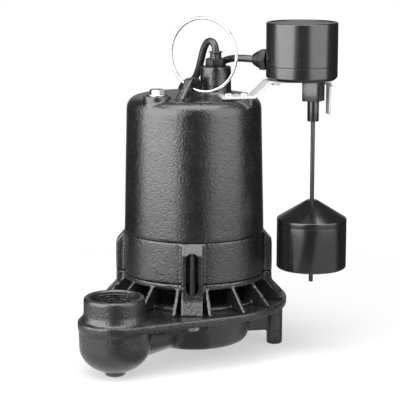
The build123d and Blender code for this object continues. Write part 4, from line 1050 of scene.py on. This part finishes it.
def support_forms():
    forms = []
    for angle in LUG_ANGLES:
        x, y = on_circle(BOLT_CIRCLE, angle)
        boss_line = [(0, 41.5), (7.8, 41.5, 0.8), (8.2, 47), (0, 47)]
        forms.append(lathe("boss", rounded(boss_line), level(x, y), 40))
        for side in (-14, 14):
            corners = [(52, 47), (78, 47), (78, 45.6), (56.5, 30), (52, 30)]
            forms.append(slab("gusset", corners, -1.9, 1.9, upright(0, 0, 0, angle + side)))
    for x, y in LEGS:
        leg_line = [(0, 0), (7.9, 0, 1), (8.1, 47), (0, 47)]
        forms.append(lathe("leg", rounded(leg_line), level(x, y), 40))
        reach = math.hypot(x, y)
        web = [(46, 14), (reach, 14), (reach, 47), (46, 47)]
        forms.append(slab("web", web, -3.5, 3.5, upright(0, 0, 0, math.degrees(math.atan2(y, x)))))
    return forms


# %% Pump casing
bowl_line = [(0, CASING_FLOOR), (52, CASING_FLOOR, 9), (60, FLANGE_BOTTOM), (60, 53), (0, 53)]
bowl = lathe("bowl", rounded(bowl_line), steps=128)
flange = slab("flange", flange_outline(), FLANGE_BOTTOM, FLANGE_TOP)
casing_forms = [bowl, flange] + elbow_forms() + support_forms()
volute = sand_cast(fuse("volute_cast", casing_forms), 1.2, 3, 0.25)

chamber = lathe("chamber", rounded([(0, 13.5), (47, 13.5, 3), (47, 60), (0, 60)]), steps=96)
carve(volute, chamber)
x, y = on_circle(38, DISCHARGE_ANGLE)
carve(volute, peg(13.5, 0, 84, upright(x, y, ELBOW_LEVEL, DISCHARGE_ANGLE + 90)))
print("pump casing cast, and its waterway bored")

# %% [markdown]
# The socket has a real tapered pipe thread, eleven and a half turns to the inch. A thread is a
# helix, but eight plain grooves one above the other look the same from every side and keep the
# mesh closed, so the bore is turned as a profile with as many ridges. Below it a rounded seat leads
# down into the elbow.

# %% Threaded bore
bore_line = [(0, 12), (12, 12), (19, 22), (19, 55.4), (23.2, 55.8)]
THREAD_PITCH = 2.2087  # eleven and a half to an inch of 25.4 mm
for turn in range(8):
    height = 56.4 + THREAD_PITCH * turn
    bore_line += [(22.7, height), (24.1, height + THREAD_PITCH / 2)]
bore_line += [(23.0, 74.2), (25.2, 76.4), (25.2, 80), (0, 80)]
carve(volute, lathe("socket_bore", bore_line, level(*DISCHARGE), steps=96))
carve(volute, bolt_holes(38, 60))
carve(volute, peg(300, -20, 0.02, steps=24))
complete(volute, "pump", "cast_paint", casing_enamel, "volute", angle=38)
matt_shade_inside(volute, 62, 45, 60.3)

# %% [markdown]
# ### Tie bolts
# Plain zinc-plated hexagon bolts come up from below, through the casing and the strainer's legs
# into the lugs. Their shanks show in the slots, and the top of each shank is threaded. The head has
# the usual chamfer that turns its corners round: a cone and a hexagon are made, and only what lies
# inside both is kept.


# %% A hexagon with turned corners
def hexagon_head(name, apothem, bottom, top, chamfer_side):
    """A hexagon whose corners are cut by a cone on one side, as on a bolt head."""
    head = slab(name, polygon(6, apothem), bottom, top)
    reach = apothem / math.cos(math.radians(30)) + 0.4
    narrow, drop = apothem * 0.96, 0.9
    if chamfer_side == "bottom":
        cone = [(0, bottom - 0.01), (narrow, bottom - 0.01), (reach, bottom + drop)]
        cone += [(reach, top + 1), (0, top + 1)]
    else:
        cone = [(0, bottom - 1), (reach, bottom - 1), (reach, top - drop)]
        cone += [(narrow, top + 0.01), (0, top + 0.01)]
    return carve(head, lathe("cone", cone, steps=64), "INTERSECT")


# %% One bolt, copied to the four lugs
bolt_head = hexagon_head("bolt_head", 5.55, 36.5, 41.5, "bottom")
shank_line = [(0, 41), (3.1, 41)]
for turn in range(10):
    shank_line += [(3.1, 97.0 + 1.25 * turn), (2.65, 97.6 + 1.25 * turn)]
shank_line += [(3.1, 109.8), (3.1, 110.6), (2.3, 111.4), (0, 111.4)]
bolt = carve(bolt_head, lathe("shank", shank_line, steps=32), "UNION")
bolts = [bolt]
for angle in LUG_ANGLES[1:]:
    copy = bolt.copy()
    copy.data = bolt.data.copy()
    bpy.context.scene.collection.objects.link(copy)
    bolts.append(settle(copy, level(*on_circle(BOLT_CIRCLE, angle), 0, angle)))
settle(bolt, level(*on_circle(BOLT_CIRCLE, LUG_ANGLES[0]), 0, LUG_ANGLES[0]))
bolt_set = complete(fuse("tie_bolt_set", bolts), "pump", "bright_steel", zinc_plate, "tie_bolts")

# %% [markdown]
# The shanks are given a dark finish above the flange; only the heads under the flange are bright.

# %% Dark shanks
bolt_set.data.materials.append(bolt_shank)
for face in bolt_set.data.polygons:
    if face.center.z > FLANGE_TOP * MM:
        face.material_index = 1
print("shanks darkened above", FLANGE_TOP, "mm")

# %% [markdown]
# ## On the roof
# The filler plug closes the oil chamber, the gland holds the mains cord watertight in its tower,
# and the wire ring in the ear is for lowering the pump into its pit.

# %% Filler plug and its washer
washer_line = rounded([(6.3, 255.0), (9.0, 255.0, 0.3), (9.0, 256.2, 0.3), (6.3, 256.2)], 3)
plug_washer = lathe("filler_washer", washer_line, level(*FILLER), steps=64)
complete(plug_washer, "pump", "seal_rubber", seal_rubber, "oil_plug_washer")

filler_head = hexagon_head("filler_plug", 6.2, 257.6, 262.6, "top")
flange_line = [(0, 249.7), (5.95, 249.7), (5.95, 256.2), (8.4, 256.2, 0.4), (8.3, 257.5, 0.5)]
flange_line += [(6.4, 258.0), (0, 258)]
carve(filler_head, lathe("flange", rounded(flange_line, 3), steps=64), "UNION")
settle(filler_head, level(*FILLER, 0, 20))
complete(break_edges(filler_head, 0.18), "pump", "bright_steel", zinc_plate, "oil_plug")

# %% [markdown]
# The gland is a rubber bush squeezed by a nylon nut. The bush tapers along the cord and ends in a
# small flared lip, with two shallow rings cut in it, so that the cord bends over a length and not
# at one point.

# %% Gland nut and strain relief
gland_nut = hexagon_head("gland_nut", 8.8, 280.5, 288.1, "top")
nut_bore = [(0, 270), (5.9, 270), (5.9, 287.4), (6.6, 288.3), (6.6, 290), (0, 290)]
carve(gland_nut, lathe("nut_bore", nut_bore, steps=48))
settle(gland_nut, level(*TOWER, 0, -18))
complete(break_edges(gland_nut, 0.25), "pump", "gland_plastic", gland_nylon, "gland_nut")

relief_line = [(0, 264.5), (7.4, 264.5, 0.5), (7.4, 280.4, 0.3), (6.0, 280.6), (5.8, 288.4)]
relief_line += [(5.7, 289.6), (5.3, 290.0, 0.2), (5.3, 290.5, 0.2), (5.65, 290.9), (5.6, 291.9)]
relief_line += [(5.25, 292.3, 0.2), (5.25, 292.8, 0.2), (5.6, 293.2), (6.6, 293.8, 0.3)]
relief_line += [(6.6, 294.8, 0.4), (4.2, 294.6), (0, 294.2)]
relief = lathe("strain_relief", rounded(relief_line, 3), level(*TOWER), steps=64)
complete(relief, "pump", "seal_rubber", cord_vinyl, "cord_strain_relief")

# %% [markdown]
# The lifting ring is a length of bright wire, bent round through the ear's hole and welded where
# its ends meet. A torus primitive would do for the wire, but here the round of the wire is a
# profile like any other, spun about the middle of the ring, and a small turned bead is the weld.

# %% Lifting ring: bright wire with its butt weld
RING_MIDDLE = (9.027, -28.366, 294.314)
WIRE = 1.4
RING_TURN = 34.9
RING_LEAN = -28
WELD_ANGLE = 205  # round the ring from its outermost point


def wire_round(radius, count=20):
    angles = [math.tau * index / count for index in range(count)]
    return [(RING_TURN + radius * math.cos(angle), radius * math.sin(angle)) for angle in angles]


ring = lathe("lifting_ring", wire_round(WIRE), steps=160)
bead = lathe("weld", rounded([(0, -1.5), (1.5, -1.5, 0.7), (1.5, 1.5, 0.7), (0, 1.5)]), steps=32)
along_wire = Matrix.Translation((RING_TURN * MM, 0, 0)) @ Matrix.Rotation(math.radians(90), 4, "X")
settle(bead, Matrix.Rotation(math.radians(WELD_ANGLE), 4, "Z") @ along_wire)
carve(ring, bead, "UNION")
settle(ring, upright(*RING_MIDDLE, RING_LEAN))
complete(ring, "ring", "ring_steel", ring_wire, "handle_ring", angle=60)

# %% [markdown]
# ## The bracket
# A strip of stainless steel two millimetres thick is bent twice to make a step, and once more at
# its far end, where a narrower tab hangs down as a guard beside the rod. Its line is drawn once,
# pulled sideways into a sheet, and given its thickness by Solidify, which keeps the thickness even
# round the bends.

# %% Bent strap
def on_bracket(step):
    """A level place on the bracket's middle line, so far from its start."""
    x, y = on_circle(step, BRACKET_TURN)
    return level(BRACKET_START[0] + x, BRACKET_START[1] + y, 0, BRACKET_TURN)


STRAP_WIDTH = 25.0
TAB_HALF_WIDTH = 5.5
bends = rounded([(0, 255), (31, 255, 4), (46, 269, 4), (106.5, 269, 4), (106.5, 236)], 6)
strap = draw_line("switch_strap", [(u, z, -STRAP_WIDTH / 2) for u, z in bends])
bpy.ops.mesh.extrude_edges_move(TRANSFORM_OT_translate={"value": (0, 0, STRAP_WIDTH * MM)})
bpy.ops.object.mode_set(mode="OBJECT")
pick(strap)
gauge = strap.modifiers.new("gauge", "SOLIDIFY")
gauge.thickness = 2 * MM
gauge.offset = 0
gauge.use_even_offset = True
bpy.ops.object.modifier_apply(modifier="gauge")
settle(strap, upright(*BRACKET_START, 0, BRACKET_TURN))
for side in (-1, 1):
    inner, outer = TAB_HALF_WIDTH * side, 20 * side
    beside_tab = [(100, inner), (120, inner), (120, outer), (100, outer)]
    carve(strap, slab("beside_tab", beside_tab, 225, 263.5, on_bracket(0)))
print("strap bent and cut")

# %% Holes of the strap
for step, radius in ((8, 2.3), (23, 2.3), (54, 2.0)):
    carve(strap, peg(radius, 240, 280, on_bracket(step), 32))
carve(strap, peg(7.2, 262, 280, level(*ROD)))
complete(break_edges(strap, 0.3, 3, 50), "pump", "strap_steel", strap_steel, "switch_bracket")

# %% [markdown]
# Two slotted pan-head screws hold the bracket to the roof, and a small hexagon screw from below
# holds the switch on it. No two real screws stop at the same turn, so their slots differ too.


# %% Screws of the bracket
def pan_screw(step, turn):
    line = [(0, 253.9), (1.9, 253.9), (1.9, 256.0), (4.2, 256.0), (4.2, 258.6, 1.8), (0, 258.6)]
    screw = lathe("pan_screw", rounded(line, 6), steps=48)
    carve(screw, slab("slot", [(-3.3, -0.6), (3.3, -0.6), (3.3, 0.6), (-3.3, 0.6)], 257.4, 260))
    return settle(screw, on_bracket(step) @ Matrix.Rotation(math.radians(turn), 4, "Z"))


screws = fuse("bracket_screw_pair", [pan_screw(8, 14), pan_screw(23, 62)])
complete(screws, "pump", "bright_steel", zinc_plate, "bracket_screws")

base_screw = hexagon_head("base_screw", 3.5, 265.2, 268.0, "bottom")
screw_line = rounded([(0, 267), (1.5, 267), (1.5, 272.4, 0.4), (0, 272.4)])
carve(base_screw, lathe("shank", screw_line, steps=24), "UNION")
settle(base_screw, on_bracket(54))
complete(base_screw, "pump", "bright_steel", zinc_plate, "switch_screw")

# %% [markdown]
# ## The float switch
# A round case in two mouldings stands on the bracket. Below it a square block guides the rod, and
# the float, sliding on the rod, lifts it at high water. The lid is slightly dished, and the joint
# between lid and base shows as a fine groove.

# %% Base of the case
base_line = [(0, 270), (31.5, 270, 1.0), (34.3, 272.8, 1.2), (34.3, 283.2), (34.0, 283.5)]
base_line += [(30.8, 283.5), (30.8, 273.0, 0.8), (0, 273.0)]
case_base = lathe("switch_case_base", rounded(base_line), level(*SWITCH), steps=128)
carve(case_base, peg(7.1, 266, 276, level(*ROD)))
carve(case_base, peg(1.6, 266, 276, on_bracket(54), 24))
complete(case_base, "pump", "switch_plastic", switch_plastic, "switch_base")

# %% Cover of the case
cover_line = [(0, 321.7), (31.8, 321.7, 1), (31.8, 283.5), (33.9, 283.5), (34.3, 283.9)]
cover_line += [(34.3, 324.7, 1.3), (31.4, 324.7, 0.5), (30.7, 323.9, 0.4), (0, 323.9)]
case_cover = lathe("switch_case_cover", rounded(cover_line), level(*SWITCH), steps=128)

GLAND_ANGLE = 160.0
gland_x, gland_y = on_circle(34.6, GLAND_ANGLE)
GLAND = upright(SWITCH[0] + gland_x, SWITCH[1] + gland_y, 287.7, GLAND_ANGLE + 90)
carve(case_cover, peg(3.9, -9, 4, GLAND, 32))
complete(case_cover, "pump", "switch_plastic", switch_plastic, "switch_cover")

# %% [markdown]
# The cable enters the case through a moulded nut with a domed, ringed nose, and its spigot passes
# through the wall.

# %% Gland of the switch cable
nut_line = [(0, 5.5), (9.0, 5.5), (9.0, 7.4, 0.5), (8.0, 8.2), (7.9, 9.8, 0.4), (6.8, 10.4)]
nut_line += [(6.7, 11.8, 0.4), (5.6, 12.4), (5.3, 14.0, 0.6), (0, 14.0)]
switch_nut = hexagon_head("switch_gland_nut", 9.6, 0, 6.5, "top")
carve(switch_nut, lathe("nose", rounded(nut_line, 3), steps=64), "UNION")
carve(switch_nut, peg(3.8, -6.4, 1), "UNION")
settle(switch_nut, GLAND @ Matrix.Rotation(math.radians(30), 4, "Z"))
complete(break_edges(switch_nut, 0.3), "pump", "gland_plastic", gland_nylon, "switch_gland")

# %% [markdown]
# A square block under the switch guides the rod. When the water rises, the float pushes a sleeve on
# the rod up into the block, the rod lifts the arm inside the case, and the switch clicks. Two push
# clips on the rod keep the float and the arm from sliding off.

# %% Guide block
block_line = rounded([(-8.3, -8.3, 0.9), (8.3, -8.3, 0.9), (8.3, 8.3, 0.9), (-8.3, 8.3, 0.9)], 4)
guide = break_edges(slab("guide_block", block_line, 249.0, 268.0), 0.5, 3, 60)
neck_line = rounded([(0, 267), (7, 267), (7, 273.5, 0.5), (0, 273.5)])
carve(guide, lathe("neck", neck_line, steps=64), "UNION")
guide_bore = [(0, 240), (5.9, 240), (5.75, 249.6), (5.75, 268.0), (2.13, 268.0)]
guide_bore += [(2.13, 290), (0, 290)]
carve(guide, lathe("guide_bore", guide_bore, steps=48))
settle(guide, level(*ROD, 0, -30))
complete(guide, "pump", "switch_plastic", switch_plastic, "rod_guide")

# %% Stem and rod
stem_line = rounded([(2.05, 229.5), (5.6, 229.5, 0.8), (5.7, 261.2, 0.5), (2.05, 261.2)])
stem = lathe("lift_stem", stem_line, level(*ROD), steps=64)
complete(stem, "rod", "switch_plastic", switch_plastic, "actuator_stem")

rod_line = rounded([(0, 71), (2.05, 71, 0.6), (2.05, 281.5, 1.3), (0, 281.5)], 4)
rod = lathe("lift_rod", rod_line, level(*ROD), steps=32)
complete(rod, "rod", "switch_plastic", rod_black, "float_rod")


# %% Clips of the rod
def push_clip(bottom):
    """A push clip on the rod, from its lower face up."""
    line = [(2.05, bottom), (4.2, bottom), (5.0, bottom + 0.5, 0.3), (5.0, bottom + 1.3, 0.3)]
    line += [(3.4, bottom + 1.7), (3.2, bottom + 3.0, 0.3), (2.05, bottom + 3.0)]
    return lathe("push_clip", rounded(line, 3), level(*ROD), steps=48)


clips = fuse("rod_clip_pair", [push_clip(273.8), push_clip(87.4)])
complete(clips, "rod", "switch_plastic", switch_plastic, "rod_clips")

# %% [markdown]
# ### The float
# A hollow drum with a cone on top. Where the two halves of the moulding meet, just under the cone,
# there is a fine groove, and the bottom has a recess that hides the clip on the rod.

# %% Float
float_line = [(2.13, 90.7), (8, 90.7, 0.5), (8, 85.7, 0.8), (33.9, 85.7, 2.0), (33.9, 129.2, 0.3)]
float_line += [(33.45, 129.5), (33.45, 130.1), (33.9, 130.4, 0.3), (33.9, 134.6, 1.6)]
float_line += [(5.2, 152.4, 0.8), (2.13, 152.5)]
float_body = lathe("float_drum", rounded(float_line), level(*ROD), steps=128)
complete(float_body, "float", "float_plastic", float_plastic, "float")

# %% [markdown]
# ## The two plugs
# The mains cord ends in a round moulded plug with two flat blades and an earth pin. The cable of
# the switch ends in a piggyback plug: it goes into the wall, and the pump's own plug goes into its
# back, so that the switch stands between the two.


# %% A place from an origin and two directions
def facing(origin, across, outward):
    """A place whose X runs across and whose Z points outward."""
    up = outward.cross(across)
    turn = Matrix((across, up, outward)).transposed().to_4x4()
    return Matrix.Translation(Vector(origin) * MM) @ turn


# %% [markdown]
# Both plugs have the same three contacts. A blade is a thin plate with a round nose and a hole
# that the spring in the wall snaps into. One function makes the pair of blades and the round earth
# pin on whichever face they stand.


# %% Blades and earth pin
BLADE_OUT = 6.35
EARTH_DOWN = 8.925


def plug_pins(place, name, nodes):
    """The pair of blades and the earth pin on a face; nodes are what they stand for."""
    blades = []
    for side in (-1, 1):
        edge = rounded([(-3.175, 0), (3.175, 0), (3.175, 16, 1.6), (-3.175, 16, 1.6)], 4)
        blade = slab("blade", edge, -0.75, 0.75)
        carve(blade, peg(1.6, -3, 3, Matrix.Translation((0, 12 * MM, 0)), 24))
        stand = Matrix(((0, 0, 1), (1, 0, 0), (0, 1, 0))).to_4x4()
        shift = Matrix.Translation(Vector((BLADE_OUT * side, 2.975, 0)) * MM)
        blades.append(settle(break_edges(blade, 0.15), place @ shift @ stand))
    pair = fuse(name + "_blade_pair", blades)
    complete(pair, "pump", "blade_brass", blade_brass, nodes[0])
    pin_line = rounded([(0, 0), (2.4, 0), (2.4, 18, 1.5), (0, 18)])
    below = Matrix.Translation((0, -EARTH_DOWN * MM, 0))
    pin = lathe(name + "_round_pin", pin_line, place @ below, 32)
    complete(pin, "pump", "blade_brass", blade_brass, nodes[1])
    return pair, pin


# %% [markdown]
# The mains plug is round and turned in one go, with rings round its neck that let it bend. The
# piggyback plug is a square block with a sleeve, with blades on one side and slots on the other.

# %% Mains plug
across = Vector((-power_heading.y, power_heading.x, 0))
plug_line = [(0, 0), (4.4, 0, 0.5), (5.2, 2.4), (4.6, 3.0, 0.3), (6.4, 5.4), (5.8, 6.0, 0.3)]
plug_line += [(7.6, 8.4), (7.0, 9.0, 0.3), (9.0, 11.6), (11.5, 12.4, 1.0), (12.4, 20)]
plug_line += [(11.9, 20.8, 0.4), (12.9, 26.5), (14.0, 30, 2), (14.0, 38, 1.2), (0, 38)]
plug_place = facing(power_entry, across, power_heading)
mains_plug = lathe("mains_plug", rounded(plug_line, 3), plug_place, steps=64)
complete(mains_plug, "pump", "plug_rubber", plug_vinyl, "power_plug")
face = facing(power_entry + power_heading * 38, across, power_heading)
mains_pins = plug_pins(face, "mains", ("power_plug_blades", "power_plug_earth_pin"))

# %% Block and sleeve of the piggyback plug
HALF_BLOCK = 13
BLOCK_MIDDLE = 28

outward = Vector((switch_heading.y, -switch_heading.x, 0))
half = HALF_BLOCK
shape = rounded([(-half, -14, 5), (half, -14, 5), (half, 14, 5), (-half, 14, 5)])
piggyback = break_edges(slab("piggyback_body", shape, 12, 44), 1.8, 4, 50)
sleeve_line = [(0, 0), (4.4, 0, 0.5), (5.2, 3.4), (4.6, 4.0, 0.3), (6.2, 7.4), (5.6, 8.0, 0.3)]
sleeve_line += [(7.4, 12.5), (0, 12.5)]
carve(piggyback, lathe("sleeve", rounded(sleeve_line, 3), steps=64), "UNION")
settle(piggyback, facing(switch_entry, outward, switch_heading))

# %% Slots and blades of the piggyback plug
middle = switch_entry + switch_heading * BLOCK_MIDDLE
back = facing(middle - outward * HALF_BLOCK, switch_heading, -outward)
for along in (-BLADE_OUT, BLADE_OUT):
    left, right = along - 1.15, along + 1.15
    slit = slab("slit", [(left, -0.9), (right, -0.9), (right, 6.95), (left, 6.95)], -10, 2, back)
    carve(piggyback, slit)
carve(piggyback, peg(2.8, -10, 2, back @ Matrix.Translation((0, -6 * MM, 0)), 32))
complete(piggyback, "pump", "plug_rubber", plug_vinyl, "piggyback_plug")
face = facing(middle + outward * HALF_BLOCK, switch_heading, outward)
piggyback_pins = plug_pins(face, "piggyback", ("piggyback_plug_blades", "piggyback_plug_earth_pin"))

# %% [markdown]
# ## The cords join their bodies
# Each cord gets the vinyl finish and joins the pump, and the CAD's tubes and coils give way to it.

for cord, nodes in (
    (power_flex, ("power_cord", "power_cord_coil", "power_cord_tail")),
    (switch_flex, ("switch_cable", "switch_cable_coil", "switch_cable_tail")),
):
    cord.data.materials.append(cord_vinyl)
    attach(cord, "pump")
    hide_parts(*nodes)
    print(cord.name, "stands for", len(nodes), "solids")

# %% [markdown]
# ## Inside
# The motor, the bearings, the seal and the impeller keep their CAD shapes, and only get finishes.
# They could be modelled again like the castings, but they are turned and stamped pieces whose CAD
# shape is already right, and their meshes stay as they came.

# %% Finishes of the pieces inside
INSIDE = {
    "stator_core": lamination,
    "rotor_core": lamination,
    "stator_windings": copper_wire,
    "thermal_protector": switch_plastic,
    "motor_shaft": ground_steel,
    "upper_bearing": ground_steel,
    "lower_bearing": ground_steel,
    "wave_washer": ground_steel,
    "bearing_retaining_ring": ground_steel,
    "seal_spring": ground_steel,
    "arm_pin": ground_steel,
    "seal_seat": seal_ceramic,
    "seal_head": seal_rubber,
    "housing_gasket": seal_rubber,
    "impeller": impeller_nylon,
    "impeller_nut": zinc_plate,
    "switch_arm": die_cast,
    "arm_fork": die_cast,
    "microswitch": switch_plastic,
}
for name, finish in INSIDE.items():
    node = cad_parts[name]
    node.data.materials.clear()
    node.data.materials.append(finish)
print(len(INSIDE), "inside nodes finished")

# %% [markdown]
# ## The end

# %% End
print("scene built")
